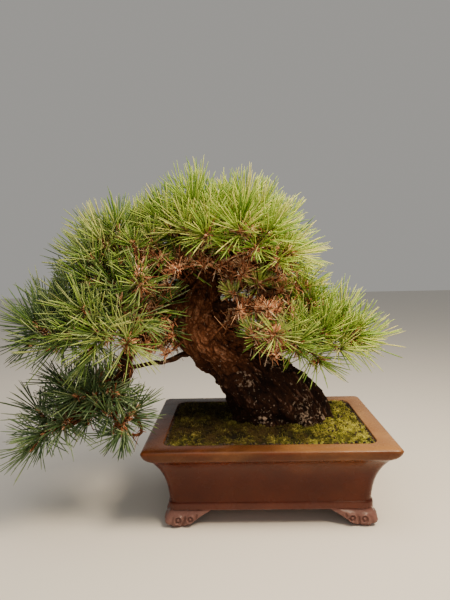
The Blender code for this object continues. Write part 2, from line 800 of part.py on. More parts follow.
def needle_fits(root, end, name, occupied):
    """True where a needle clears the ground, other nodes, and its own spray past its root."""
    if not above_ground(end):
        return False
    if occupied.gap(root, end, NEEDLE_RADIUS, lambda owner: owner != name) < NEEDLE_CLEARANCE:
        return False
    outer = root + OWN_START * (end - root)
    return occupied.gap(outer, end, NEEDLE_RADIUS, lambda owner: owner == name) > OWN_CLEARANCE


def make_spray(name, tip, heading, occupied, parts, material, rng):
    """One spray: a slim woody core with needles all round it, fused in one solid."""
    foot = tip - heading * CORE_LENGTH
    start = foot + heading * GAP
    core = tapered_rod(name, start, tip, CORE_BASE_RADIUS, CORE_TIP_RADIUS, CORE_SIDES, parts)
    core.data.materials.append(material)
    needles = new_collection("needles")
    for k in range(NEEDLES_PER_SPRAY):
        share = (k + 0.5) / NEEDLES_PER_SPRAY
        along = NEEDLE_START + (NEEDLE_STOP - NEEDLE_START) * share
        root = foot + heading * CORE_LENGTH * along
        for attempt in range(NEEDLE_TRIES):
            wildness = 1 + attempt * WILDNESS_STEP
            direction = needle_direction(heading, share, k * GOLDEN_ANGLE, rng, wildness)
            length = NEEDLE_LENGTH * rng.uniform(NEEDLE_SHORTEST, NEEDLE_LONGEST)
            end = root + direction * length
            if needle_fits(root, end, name, occupied):
                radii = (NEEDLE_RADIUS, 0.0)
                rod = tapered_rod(f"{name}_{k}", root, end, *radii, NEEDLE_SIDES, needles)
                rod.data.materials.append(material)
                occupied.add(root, end, NEEDLE_RADIUS, name)
                break
    join_all(core, needles)


def centre_on_box(parts, holder):
    """Moves everything so that the origin is the bottom centre of the whole box."""
    bpy.context.view_layer.update()
    graph = bpy.context.evaluated_depsgraph_get()
    corners = []
    for obj in parts.objects:
        mesh = obj.evaluated_get(graph).to_mesh()
        points = np.empty(len(mesh.vertices) * 3)
        mesh.vertices.foreach_get("co", points)
        points = points.reshape(-1, 3)
        corners += [points.min(axis=0), points.max(axis=0)]
    low, high = np.min(corners, axis=0), np.max(corners, axis=0)
    holder.location = (-(low[0] + high[0]) / 2, -(low[1] + high[1]) / 2, -low[2])
    bpy.context.view_layer.update()


def main():
    for obj in list(bpy.data.objects):
        bpy.data.objects.remove(obj)
    parts = new_collection("black_pine_bonsai")
    cutters = new_collection("cutters")

    stoneware = make_material("stoneware", (0.23, 0.10, 0.06), 0.6)
    bark = make_material("bark", (0.07, 0.035, 0.02), 0.9)
    earth = make_material("soil", (0.06, 0.045, 0.03), 1.0)
    moss_green = make_material("moss", (0.16, 0.19, 0.03), 0.95)
    plastic = make_material("screen_plastic", (0.03, 0.03, 0.03), 0.6)
    needle_green = make_material("needles", (0.16, 0.30, 0.05), 0.5)

    make_pot(parts, cutters, stoneware)
    make_screen("drain_screen_left", -DRAIN_OFFSET, parts, plastic)
    make_screen("drain_screen_right", DRAIN_OFFSET, parts, plastic)
    trunk_shapes = trunk_cutters(cutters)
    make_soil(parts, trunk_shapes, earth)
    make_moss(parts, trunk_shapes, moss_green)

    shoots, twigs, occupied = place_shoots()
    make_wood(parts, twigs, bark)
    rng = random.Random(SEED)
    for name, tip, heading in shoots:
        make_spray(name, tip, heading, occupied, parts, needle_green, rng)

    holder = bpy.data.objects.new("bonsai", None)
    bpy.context.scene.collection.objects.link(holder)
    for obj in [*parts.objects, *cutters.objects]:
        obj.parent = holder
    centre_on_box(parts, holder)


main()
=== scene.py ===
"""Looks of a black pine bonsai: needles, bark, moss and a footed stoneware pot."""

import itertools
import math
from collections import namedtuple

import bpy
import numpy as np
from mathutils import Matrix, Vector


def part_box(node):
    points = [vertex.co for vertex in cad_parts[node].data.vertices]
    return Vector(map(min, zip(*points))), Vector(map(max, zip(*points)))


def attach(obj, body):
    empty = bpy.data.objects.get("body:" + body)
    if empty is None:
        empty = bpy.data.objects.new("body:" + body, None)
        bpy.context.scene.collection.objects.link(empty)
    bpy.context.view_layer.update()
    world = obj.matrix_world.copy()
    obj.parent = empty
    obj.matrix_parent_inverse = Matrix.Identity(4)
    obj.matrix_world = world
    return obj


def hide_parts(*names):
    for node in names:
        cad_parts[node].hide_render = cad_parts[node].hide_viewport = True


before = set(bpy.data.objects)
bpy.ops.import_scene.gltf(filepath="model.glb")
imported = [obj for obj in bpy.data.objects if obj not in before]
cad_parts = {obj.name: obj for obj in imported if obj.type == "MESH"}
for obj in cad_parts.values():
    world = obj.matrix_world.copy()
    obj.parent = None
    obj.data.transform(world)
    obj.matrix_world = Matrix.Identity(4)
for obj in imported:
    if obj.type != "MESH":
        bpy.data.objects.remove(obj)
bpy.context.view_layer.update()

# The middle of the pot's footprint, which every position below is measured from
POT_LOW, POT_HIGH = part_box("pot")
POT_MIDDLE = np.array(((POT_LOW[0] + POT_HIGH[0]) / 2, (POT_LOW[1] + POT_HIGH[1]) / 2, 0.0))

# Pot
POT_LENGTH = 0.340
POT_DEPTH = 0.250
FOOT_HEIGHT = 0.0225
FLOOR_THICKNESS = 0.009
RIM_WIDTH = 0.025
# The outer corners' radius by height
CORNER_RADII = ((0.090, 0.012), (0.102, 0.016), (0.107, 0.011), (0.113, 0.006))
INSIDE_CORNER = 0.015
DRAIN_RADIUS = 0.010
DRAIN_OFFSET = 0.070
# Outer face from the underside up to the rim: (inset from the rim's outline, height)
POT_OUTSIDE = (
    (0.0330, 0.0225),
    (0.0308, 0.0240),
    (0.0300, 0.0262),
    (0.0300, 0.0312),
    (0.0306, 0.0334),
    (0.0318, 0.0346),
    (0.0316, 0.0385),
    (0.0296, 0.0550),
    (0.0256, 0.0705),
    (0.0190, 0.0855),
    (0.0110, 0.0965),
    (0.0046, 0.1016),
    (0.0016, 0.1050),
    (0.0000, 0.1120),
    (0.0008, 0.1150),
    (0.0036, 0.1170),
)
# Inner face from the rim down to the floor
POT_INSIDE = (
    (0.0235, 0.1166),
    (0.0260, 0.1145),
    (0.0300, 0.0950),
    (0.0390, 0.0600),
    (0.0450, FOOT_HEIGHT + FLOOR_THICKNESS),
)
# Underside of a foot's wing: (distance from the foot's outer end, height)
FOOT_UNDERSIDE = (
    (0.0000, 0.0100),
    (0.0010, 0.0045),
    (0.0040, 0.0014),
    (0.0085, 0.0000),
    (0.0225, 0.0000),
    (0.0320, 0.0030),
    (0.0385, 0.0070),
    (0.0445, 0.0125),
    (0.0510, 0.0170),
    (0.0590, 0.0215),
    (0.0610, 0.0240),
)
FOOT_TOP = 0.0245
FOOT_OVERHANG = 0.0055
FOOT_THICKNESS = 0.015
# Scroll eyes on a foot's face: (distance from its outer end, height, radius)
FOOT_EYES = ((0.0165, 0.0112, 0.0036), (0.0330, 0.0124, 0.0034))
# Creases between the scrolls: distances from the foot's outer end
FOOT_CREASES = (0.0085, 0.0245, 0.0400)
FOOT_CORNER = 0.010

# Moss and soil
MOSS_EDGE = 0.1146
MOUND_HEIGHT = 0.0090
MOSS_LOFT = 0.0007
MOSS_INSET = 0.0258
MOSS_UNDERSIDE = 0.104
# Cushions and the tufts on them: how broad and how high
CUSHION_SIZE, CUSHION_RISE = 0.015, 0.0042
TUFT_SIZE, TUFT_RISE = 0.0052, 0.0020
FRONDS = 12000
FROND_INSET = 0.0275
FROND_LENGTHS = (0.0016, 0.0042)
FROND_RADII = (0.00075, 0.0002)
EDGE_GRAINS, STREWN_GRAINS = 500, 110
# The strewn ones lie to the right of the trunk: lowest and highest (x, y)
STREWN_PLACES = ((0.075, -0.090), (0.138, 0.090))
GRAIN_RADII = (0.0008, 0.0022)

# Trunk: (x, y, z, half width, half depth) up its middle
TRUNK = (
    (0.024, 0.004, 0.078, 0.058, 0.042),
    (0.024, 0.004, 0.106, 0.073, 0.054),
    (0.019, 0.002, 0.126, 0.069, 0.052),
    (-0.001, 0.000, 0.160, 0.060, 0.048),
    (-0.027, 0.000, 0.192, 0.047, 0.044),
    (-0.051, 0.000, 0.217, 0.040, 0.040),
    (-0.074, 0.000, 0.236, 0.042, 0.041),
    (-0.090, 0.000, 0.257, 0.044, 0.040),
    (-0.093, 0.001, 0.282, 0.036, 0.034),
    (-0.091, 0.001, 0.306, 0.028, 0.027),
    (-0.087, 0.002, 0.330, 0.020, 0.020),
    (-0.080, 0.002, 0.356, 0.0135, 0.0135),
    (-0.067, 0.000, 0.390, 0.0095, 0.0095),
    (-0.055, -0.003, 0.425, 0.0050, 0.0050),
)
# Old shoulder on the trunk's right, where a second stem was once cut away
SHOULDER = (
    (0.052, 0.006, 0.078, 0.040, 0.036),
    (0.056, 0.006, 0.108, 0.044, 0.040),
    (0.051, 0.006, 0.136, 0.041, 0.037),
    (0.038, 0.006, 0.160, 0.036, 0.034),
    (0.023, 0.005, 0.182, 0.028, 0.030),
    (0.014, 0.004, 0.203, 0.018, 0.022),
    (0.008, 0.002, 0.223, 0.007, 0.008),
)
SOIL_LEVEL = 0.112
LEAN_START = 0.050
ROOT_LOBES = 7
ROOT_SWELL = 0.10
ROOT_FADE = 0.035
ROOT_TURN = 0.6
BARK_LOBES = 5
BARK_SWELL = 0.045
BARK_TWIST = 90.0
# Bark: how broad a scale is, and how much shorter than real lengths along the grain count
BARK_SCALE = 0.012
GRAIN_SQUEEZE = 0.42
# Middles of the lichen's patches and how far they reach
LICHEN_SPOTS = (
    (-0.027, -0.048, 0.189, 0.016),
    (0.010, -0.034, 0.220, 0.016),
    (0.027, -0.034, 0.205, 0.012),
    (0.065, -0.040, 0.156, 0.020),
    (0.086, -0.032, 0.138, 0.022),
    (-0.008, -0.054, 0.132, 0.016),
    (0.054, -0.048, 0.135, 0.020),
)
# A cleft down the front of the shoulder, left by the second stem
CLEFT = ((0.028, -0.03, 0.220), (0.049, -0.03, 0.196), (0.068, -0.03, 0.172), (0.088, -0.03, 0.142))
CLEFT_WIDTH = 0.0036

# Limbs: (x, y, z, radius) from inside the trunk outwards
LIMBS = {
    "cascade": (
        (-0.096, -0.005, 0.264, 0.012),
        (-0.140, -0.030, 0.270, 0.010),
        (-0.177, -0.052, 0.257, 0.009),
        (-0.194, -0.060, 0.228, 0.008),
        (-0.203, -0.062, 0.196, 0.0068),
        (-0.232, -0.063, 0.170, 0.0052),
        (-0.276, -0.064, 0.148, 0.0034),
    ),
    "under_twig": (
        (-0.100, -0.008, 0.230, 0.0042),
        (-0.136, -0.026, 0.219, 0.0034),
        (-0.168, -0.046, 0.214, 0.0030),
        (-0.199, -0.061, 0.216, 0.0026),
    ),
    "left": (
        (-0.094, 0.000, 0.288, 0.013),
        (-0.150, -0.024, 0.297, 0.010),
        (-0.200, -0.045, 0.288, 0.008),
        (-0.250, -0.054, 0.276, 0.0058),
        (-0.300, -0.056, 0.262, 0.0034),
    ),
    "upper_left": (
        (-0.088, 0.000, 0.322, 0.011),
        (-0.124, 0.003, 0.350, 0.0085),
        (-0.166, -0.006, 0.365, 0.0064),
        (-0.214, -0.015, 0.366, 0.0034),
    ),
    "right": (
        (-0.082, -0.004, 0.280, 0.010),
        (-0.030, -0.012, 0.294, 0.0076),
        (0.022, -0.018, 0.291, 0.0060),
        (0.066, -0.016, 0.272, 0.0048),
        (0.110, -0.004, 0.254, 0.0034),
    ),
    "right_front": (
        (-0.078, -0.014, 0.254, 0.0085),
        (-0.038, -0.044, 0.255, 0.0066),
        (0.002, -0.058, 0.248, 0.0050),
        (0.036, -0.064, 0.236, 0.0034),
    ),
    "arched_twig": (
        (-0.078, -0.010, 0.292, 0.0062),
        (-0.050, -0.046, 0.299, 0.0040),
        (-0.028, -0.058, 0.296, 0.0028),
        (-0.002, -0.062, 0.2915, 0.0022),
        (0.018, -0.062, 0.2925, 0.0019),
        (0.034, -0.058, 0.299, 0.0016),
    ),
    "back": (
        (-0.086, 0.008, 0.310, 0.0105),
        (-0.078, 0.050, 0.328, 0.0080),
        (-0.052, 0.084, 0.331, 0.0060),
        (-0.012, 0.104, 0.322, 0.0034),
    ),
    "crown": (
        (-0.078, 0.002, 0.358, 0.0095),
        (-0.046, -0.006, 0.386, 0.0066),
        (-0.006, -0.010, 0.398, 0.0034),
    ),
    "leader": (
        (-0.062, 0.000, 0.404, 0.0080),
        (-0.072, 0.003, 0.424, 0.0058),
        (-0.096, 0.006, 0.436, 0.0034),
    ),
}
# Foliage pads: limbs that feed the pad, middle of its dome, its three radii, how far its left
# side hangs (degrees), how far round from the top its shoots go (degrees), how many sprays the
# CAD model has there and how many shoots fill it here
Pad = namedtuple("Pad", "limbs centre radii hang reach sprays shoots")
PADS = {
    "crown": Pad(("crown", "leader"), (-0.056, 0.000, 0.392), (0.096, 0.082, 0.060), -10, 94, 12, 52),
    "upper_left": Pad(("upper_left",), (-0.190, -0.014, 0.350), (0.074, 0.072, 0.070), 8, 100, 8, 36),
    "left": Pad(("left",), (-0.244, -0.052, 0.280), (0.096, 0.066, 0.042), 10, 118, 9, 34),
    "cascade": Pad(("cascade",), (-0.266, -0.066, 0.154), (0.066, 0.042, 0.036), 24, 114, 6, 20),
    "cascade_foot": Pad(("cascade",), (-0.194, -0.084, 0.142), (0.018, 0.020, 0.032), 0, 150, 2, 4),
    "right": Pad(("right",), (0.087, -0.004, 0.247), (0.066, 0.064, 0.035), -14, 106, 8, 28),
    "right_front": Pad(("right_front",), (0.012, -0.070, 0.252), (0.040, 0.026, 0.020), -8, 90, 3, 6),
    "back": Pad(("back",), (-0.048, 0.094, 0.322), (0.092, 0.046, 0.050), -4, 106, 6, 24),
}
# How a pad's needles grow: how much they lift, the steepest that one points down, and how long
NEEDLE_HABIT = {
    "crown": (0.14, -0.62, 1.0),
    "upper_left": (0.14, -0.45, 1.0),
    "left": (0.04, -0.75, 1.0),
    "cascade": (0.05, -0.75, 0.88),
    "cascade_foot": (-0.10, -1.00, 0.78),
    "right": (0.14, -0.65, 0.95),
    "right_front": (0.02, -0.50, 0.85),
    "back": (0.30, -0.40, 1.0),
}
# Tufts that stand out from the front, by pad: (place, heading, how long their needles are, and
# how many dry sheaths and dead needles are left in their hearts)
SHOWN_TUFTS = {
    "crown": (
        ((0.001, -0.075, 0.396), (0.40, -0.62, 0.52), 1.0, 26),
        ((0.036, -0.050, 0.368), (0.72, -0.60, -0.10), 0.95, 26),
        ((0.036, -0.020, 0.352), (0.88, -0.35, -0.20), 0.85, 26),
        ((0.040, 0.010, 0.366), (0.90, 0.10, 0.10), 0.95, 26),
        ((-0.035, -0.086, 0.400), (-0.10, -0.95, 0.20), 0.9, 26),
        ((-0.080, -0.084, 0.396), (-0.30, -0.90, 0.15), 0.85, 26),
        ((-0.014, -0.084, 0.374), (0.10, -0.85, -0.40), 0.6, 14),
        ((0.018, -0.064, 0.356), (0.35, -0.78, -0.40), 0.6, 14),
        ((-0.052, -0.082, 0.376), (-0.25, -0.85, -0.35), 0.5, 14),
    ),
    "upper_left": (
        ((-0.169, -0.088, 0.331), (0.05, -0.96, 0.12), 0.95, 60),
        ((-0.240, -0.078, 0.340), (-0.55, -0.72, 0.36), 0.95, 26),
        ((-0.270, -0.030, 0.328), (-0.72, -0.35, 0.50), 0.85, 26),
    ),
    "left": (
        ((-0.212, -0.112, 0.266), (-0.60, -0.78, -0.10), 1.15, 26),
        ((-0.181, -0.115, 0.258), (0.30, -0.90, -0.12), 1.05, 60),
        ((-0.286, -0.098, 0.252), (-0.76, -0.62, -0.15), 1.0, 26),
        ((-0.144, -0.034, 0.262), (0.45, -0.75, -0.30), 0.75, 10),
        ((-0.235, -0.100, 0.245), (-0.20, -0.80, -0.50), 0.95, 26),
    ),
    "cascade": (
        ((-0.256, -0.098, 0.186), (-0.35, -0.88, 0.25), 0.85, 8),
        ((-0.330, -0.072, 0.106), (-0.66, -0.35, -0.68), 1.08, 8),
        ((-0.284, -0.076, 0.200), (-0.60, -0.45, 0.45), 0.85, 8),
        ((-0.236, -0.080, 0.205), (0.00, -0.75, 0.62), 0.8, 8),
        ((-0.247, -0.085, 0.148), (-0.15, -0.80, -0.35), 0.7, 8),
    ),
    "cascade_foot": (
        ((-0.207, -0.087, 0.184), (0.80, -0.55, -0.10), 0.8, 8),
        ((-0.197, -0.092, 0.136), (0.15, -0.62, -0.62), 0.85, 8),
    ),
    "right": (
        ((0.122, -0.034, 0.246), (0.62, -0.70, 0.00), 0.9, 26),
        ((0.072, -0.056, 0.219), (0.48, -0.64, -0.56), 0.95, 60),
        ((0.042, -0.062, 0.236), (0.10, -0.90, -0.10), 0.7, 26),
        ((0.066, -0.030, 0.300), (0.25, -0.45, 0.75), 0.75, 26),
        ((0.062, -0.024, 0.322), (0.75, -0.40, 0.30), 0.7, 26),
        ((0.048, 0.014, 0.328), (0.80, 0.20, 0.30), 0.7, 26),
        ((0.090, 0.004, 0.290), (0.60, -0.10, 0.65), 0.75, 26),
        ((0.040, -0.012, 0.300), (0.05, -0.50, 0.85), 0.7, 26),
        ((0.056, 0.022, 0.300), (0.30, 0.30, 0.80), 0.75, 26),
        ((-0.010, -0.044, 0.330), (0.10, -0.80, 0.50), 0.45, 20),
        ((0.022, -0.034, 0.322), (0.45, -0.70, 0.45), 0.5, 20),
    ),
    "right_front": (
        ((0.009, -0.088, 0.261), (-0.05, -0.98, 0.05), 0.9, 420),
        ((-0.050, -0.050, 0.318), (-0.55, -0.70, 0.42), 0.42, 26),
    ),
}
# The photograph looks in under the crown here: few more shoots stand in these boxes, with
# short needles
OPEN_FRONT = (
    ((-0.100, -0.200, 0.325), (0.034, -0.022, 0.404)),
    ((-0.200, -0.200, 0.304), (-0.100, -0.022, 0.404)),
    ((-0.060, -0.200, 0.240), (0.006, -0.022, 0.304)),
)
# No dry bits in front of the trunk's top
BARE_BOX = ((-0.128, -0.200, 0.200), (-0.056, -0.008, 0.350))
# Bare old twigs: (limbs they grow from, lowest corner, highest corner, how many)
UNDERGROWTH = (
    (("upper_left",), (-0.200, -0.086, 0.340), (-0.130, -0.030, 0.384), 36),
    (("left", "upper_left"), (-0.170, 0.000, 0.296), (-0.108, 0.045, 0.340), 24),
    (("crown", "leader", "upper_left"), (-0.140, -0.080, 0.362), (-0.010, 0.030, 0.400), 44),
    (("crown", "right", "back"), (-0.050, -0.070, 0.350), (0.030, 0.030, 0.384), 15),
    (("right",), (-0.060, -0.060, 0.300), (0.040, 0.010, 0.335), 16),
    (("arched_twig",), (-0.046, -0.072, 0.299), (0.034, -0.052, 0.317), 16),
    (("right", "right_front"), (-0.060, -0.045, 0.270), (-0.030, 0.000, 0.300), 8),
    (("right", "right_front"), (-0.062, 0.000, 0.255), (-0.012, 0.030, 0.312), 18),
    (("left",), (-0.200, -0.080, 0.256), (-0.150, -0.030, 0.330), 30),
    (("left", "cascade"), (-0.180, -0.050, 0.254), (-0.142, 0.010, 0.290), 22),
    (("cascade",), (-0.158, -0.052, 0.246), (-0.124, -0.004, 0.266), 9),
    (("right_front",), (-0.060, -0.064, 0.272), (-0.044, -0.052, 0.282), 4),
    (("right_front",), (-0.002, -0.104, 0.266), (0.020, -0.090, 0.280), 4),
    (("cascade",), (-0.235, -0.085, 0.196), (-0.190, -0.050, 0.246), 6),
)
PAD_BLEND = 0.016
SPARE_SHOOTS = 400
UP_BIAS = 0.35
SPARE_UP_BIAS = 0.12
GOLDEN_ANGLE = math.radians(137.508)
FIRST_SHOOT_ANGLE = 0.7
OBLIQUE = np.array((0.31, 0.95, 0.05))

# Shoots and needles
CORE_LENGTH = 0.026
CORE_RADIUS = 0.0019
TWIG_RADIUS = 0.0032
NEEDLE_LENGTH = 0.056
NEEDLE_RADIUS = 0.00080
PAIRS_PER_SHOOT = 29
PAIR_SPREAD = 0.10
# Degrees off the shoot's heading: the lowest pair's, how much less the top pair's, and the scatter
LOWEST_POLAR, POLAR_DROP, POLAR_SCATTER = 88, 76, 13
NEEDLE_BEND = 0.075
TINT_SCATTER = 0.28
# How far the painted sunlight scatters from needle to needle
SUN_SCATTER = (-0.38, 0.22)
SHEATH_LENGTH = 0.007
SHEATH_RADIUS = 0.00095
BUDS_PER_SHOOT = 5
BUD_LENGTH = 0.011
BUD_RADIUS = 0.0018
BUD_SCATTER = 0.32
# Dry bits: least and greatest length, and the radius at the root
DEAD_NEEDLE = (0.010, 0.027, 0.0005)
OLD_SHEATH = (0.004, 0.010, 0.0009)
# Needles' tips keep off the pot, the moss and the floor
POT_CLEARANCE = 0.006
LOWEST_OVER_POT = 0.124
LOWEST_OVER_FLOOR = 0.018
SEED = 41

# Limbs that hang in the shade: their bark gets less rust, which leaves it darker, as painted shade
PAINTED_SHADE_LIMBS = ("cascade", "under_twig", "arched_twig")
LIMB_SIDES = 24

# Camera, fitted to the pot's corners in the photograph: degrees turned left, down and rolled
CAMERA_PLACE = (-0.0407, -0.7455, 0.3678)
CAMERA_TURNS = (1.35, 5.06, -1.21)
CAMERA_LENS, CAMERA_SENSOR = 30.0, 36.0
ROOM_LIGHT = 0.42
# Square soft lights: (name, place, what it faces, width, watts, colour)
LIGHTS = (
    ("key", (0.45, -0.42, 1.05), (-0.03, 0.0, 0.28), 0.4, 24.5, "FFE9C8"),
    ("top", (-0.25, -0.25, 1.5), (-0.1, 0.0, 0.3), 0.9, 9.0, "FFF6EA"),
    ("front", (-0.1, -1.2, 0.45), (-0.06, 0.0, 0.3), 0.7, 1.3, "FFE9CC"),
)


def unit(vectors):
    """Vectors divided by their lengths."""
    return vectors / np.linalg.norm(vectors, axis=-1, keepdims=True)


def smooth_path(points, steps):
    """Catmull-Rom curve through the points, as (steps + 1, columns)."""
    points = np.asarray(points, float)
    padded = np.vstack((2 * points[0] - points[1], points, 2 * points[-1] - points[-2]))
    at = np.linspace(0, len(points) - 1, steps + 1)
    index = np.minimum(at.astype(int), len(points) - 2)
    t = (at - index)[:, None]
    a, b, c, d = (padded[index + k] for k in range(4))
    square, cube = 2 * a - 5 * b + 4 * c - d, 3 * b - a - 3 * c + d
    return 0.5 * (2 * b + (c - a) * t + square * t**2 + cube * t**3)


def smoothstep(low, high, x):
    """0 below low, 1 above high, and 3t^2 - 2t^3 between."""
    t = np.clip((x - low) / (high - low), 0, 1)
    return t * t * (3 - 2 * t)


# Patterns


def cell_number(cells, seed):
    """A number from 0 to 1 for each whole-numbered cell, from multiplied and mixed bits."""
    mixed = cells[..., 0] * 374761393 + cells[..., 1] * 668265263 + cells[..., 2] * 1440662683
    mixed = (mixed + seed * 1013904223) & 0xFFFFFFFF
    mixed = ((mixed ^ (mixed >> 13)) * 1274126177) & 0xFFFFFFFF
    return ((mixed ^ (mixed >> 16)) & 0xFFFFFF) / 0xFFFFFF


def soft_noise(points, size, seed):
    """Smooth noise from 0 to 1: cell corners' numbers blended by smoothed distances."""
    scaled = points / size
    cell = np.floor(scaled).astype(np.int64)
    part = scaled - cell
    part = part * part * (3 - 2 * part)
    total = np.zeros(len(points))
    for corner in itertools.product((0, 1), repeat=3):
        share = np.where(corner, part, 1 - part).prod(axis=1)
        total += share * cell_number(cell + corner, seed)
    return total


def layered_noise(points, size, seed, layers=3):
    """Noise of halving size and weight, from 0 to 1."""
    weights = 0.5 ** np.arange(layers)
    sums = [w * soft_noise(points, size * w, seed + k) for k, w in enumerate(weights)]
    return np.sum(sums, axis=0) / weights.sum()


def plates(points, size, seed):
    """Distance to the nearest of scattered sites, to the next nearest, and the nearest's number."""
    scaled = points / size
    cell = np.floor(scaled).astype(np.int64)
    near = np.full(len(points), 9.0)
    second = np.full(len(points), 9.0)
    own = np.zeros(len(points))
    for corner in itertools.product((-1, 0, 1), repeat=3):
        place = cell + corner
        site = place + np.stack([cell_number(place, seed + k) for k in range(3)], -1)
        distance = np.linalg.norm(scaled - site, axis=1)
        closer = distance < near
        second = np.where(closer, near, np.minimum(second, distance))
        own = np.where(closer, cell_number(place, seed + 3), own)
        near = np.where(closer, distance, near)
    return near, second, own


# Meshes


def grid_faces(rows, around):
    """Quads of a grid whose rows run round, and the polygons that cap its two ends."""
    ids = np.arange(rows * around).reshape(rows, around)
    quads = np.stack((ids[:-1], np.roll(ids[:-1], -1, 1), np.roll(ids[1:], -1, 1), ids[1:]), -1)
    return [quads.reshape(-1, 4), ids[:1, ::-1], ids[-1:]]


def store_values(mesh, values):
    """Keeps named numbers, one a point, on a mesh for its material to read."""
    for key, numbers in values.items():
        layer = mesh.attributes.new(key, "FLOAT", "POINT")
        layer.data.foreach_set("value", np.asarray(numbers, np.float32).ravel())


def make_piece(name, points, faces, material, nodes=(), values=None, smooth=True):
    """A mesh object in the row frame from points about the pot's middle, riding on the tree."""
    mesh = bpy.data.meshes.new(name)
    points = np.asarray(points, float).reshape(-1, 3) + POT_MIDDLE
    loops = np.concatenate([part.ravel() for part in faces])
    sizes = np.concatenate([np.full(len(part), part.shape[1]) for part in faces])
    mesh.vertices.add(len(points))
    mesh.vertices.foreach_set("co", points.astype(np.float32).ravel())
    mesh.loops.add(len(loops))
    mesh.loops.foreach_set("vertex_index", loops.astype(np.int32))
    mesh.polygons.add(len(sizes))
    mesh.polygons.foreach_set("loop_start", (np.cumsum(sizes) - sizes).astype(np.int32))
    mesh.update(calc_edges=True)
    mesh.validate()
    store_values(mesh, values or {})
    if smooth:
        mesh.shade_smooth()
    mesh.materials.append(material)
    piece = bpy.data.objects.new(name, mesh)
    bpy.context.scene.collection.objects.link(piece)
    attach(piece, "root")
    if nodes:
        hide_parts(*nodes)
    return piece


def stack_parts(parts):
    """Joins (points, faces, values) parts into one set."""
    points, faces, values, start = [], [], [], 0
    for part_points, part_faces, part_values in parts:
        part_points = part_points.reshape(-1, 3)
        points.append(part_points)
        faces += [face + start for face in part_faces]
        values.append(part_values)
        start += len(part_points)
    merged = {key: np.concatenate([v[key].ravel() for v in values]) for key in values[0]}
    return np.vstack(points), faces, merged


def rods(paths, radii, sides):
    """Many thin closed rods at once: a ring of sides points square to each of n paths' k points.

    A ring's point at angle a is middle + radius * (cos(a) * side + sin(a) * other), where side
    is square to the path's run and to a fixed oblique line. paths is (n, k, 3), and radii are
    (n, k) or fit that.
    """
    count, rings = paths.shape[:2]
    radii = np.broadcast_to(radii, (count, rings))
    run = unit(np.gradient(paths, axis=1))
    side = unit(np.cross(run, OBLIQUE))
    other = np.cross(run, side)
    angles = np.linspace(0, 2 * math.pi, sides, endpoint=False)
    ring = np.cos(angles)[:, None] * side[:, :, None] + np.sin(angles)[:, None] * other[:, :, None]
    points = paths[:, :, None] + radii[:, :, None, None] * ring
    ids = np.arange(count * rings * sides).reshape(count, rings, sides)
    low, high = ids[:, :-1], ids[:, 1:]
    quads = np.stack((low, np.roll(low, -1, 2), np.roll(high, -1, 2), high), -1)
    return points, [quads.reshape(-1, 4), ids[:, 0, ::-1], ids[:, -1]]


def make_rods(name, paths, radii, sides, material, values=None, nodes=(), smooth=True):
    """A piece of rods. Its values are one a rod, (n,), or one a ring, (n, k)."""
    points, faces = rods(paths, radii, sides)
    spread = {}
    for key, numbers in (values or {}).items():
        numbers = np.asarray(numbers, float)
        numbers = numbers[:, None, None] if numbers.ndim == 1 else numbers[:, :, None]
        spread[key] = np.broadcast_to(numbers, points.shape[:3])
    return make_piece(name, points, faces, material, nodes, spread, smooth)


# Materials


def linear(code):
    """An sRGB hex code as linear red, green, blue and alpha."""
    parts = [int(code[k : k + 2], 16) / 255 for k in (0, 2, 4)]
    return (*[p / 12.92 if p <= 0.04045 else ((p + 0.055) / 1.055) ** 2.4 for p in parts], 1.0)


def add_node(material, kind, links=None, **settings):
    """Adds a node. links maps its inputs to output sockets or to constant values."""
    tree = material.node_tree
    node = tree.nodes.new(kind)
    for key, value in settings.items():
        setattr(node, key, value)
    for key, value in (links or {}).items():
        if isinstance(value, bpy.types.NodeSocket):
            tree.links.new(value, node.inputs[key])
        else:
            node.inputs[key].default_value = value
    return node


def new_material(name, **settings):
    """A material with its Principled shader's constant inputs set, and that shader."""
    material = bpy.data.materials.new(name)
    material.use_nodes = True
    shader = material.node_tree.nodes["Principled BSDF"]
    for key, value in settings.items():
        shader.inputs[key.replace("_", " ")].default_value = value
    return material, shader


def attribute(material, name):
    """The numbers stored on a piece's points under the name."""
    return add_node(material, "ShaderNodeAttribute", attribute_name=name).outputs["Fac"]


def ramp(material, factor, stops):
    """Colours blended along a factor: stops are (position, hex code)."""
    node = add_node(material, "ShaderNodeValToRGB", {"Fac": factor})
    elements = node.color_ramp.elements
    while len(elements) < len(stops):
        elements.new(0.5)
    for element, (position, code) in zip(elements, stops):
        element.position = position
        element.color = linear(code)
    return node.outputs["Color"]


def mix(material, factor, first, second, blend="MIX"):
    """Two colours mixed by a factor, through the Mix node's sockets for colours."""
    links = {0: factor, 6: first, 7: second}
    node = add_node(material, "ShaderNodeMix", links, data_type="RGBA", blend_type=blend)
    return node.outputs[2]


def grain(material, size, detail=3.0):
    """Noise of a real size in metres, on Object coordinates."""
    place = add_node(material, "ShaderNodeTexCoord").outputs["Object"]
    inputs = {"Vector": place, "Scale": 1 / size, "Detail": detail}
    return add_node(material, "ShaderNodeTexNoise", inputs).outputs["Fac"]


def connect(material, output, shader, key="Base Color"):
    """Links an output to the shader, to its colour unless another input is named."""
    material.node_tree.links.new(output, shader.inputs[key])


def bump(material, shader, height, depth):
    """Relief of a real depth in metres on the shader's normal."""
    inputs = {"Height": height, "Distance": depth, "Strength": 1.0}
    normal = add_node(material, "ShaderNodeBump", inputs).outputs["Normal"]
    connect(material, normal, shader, "Normal")


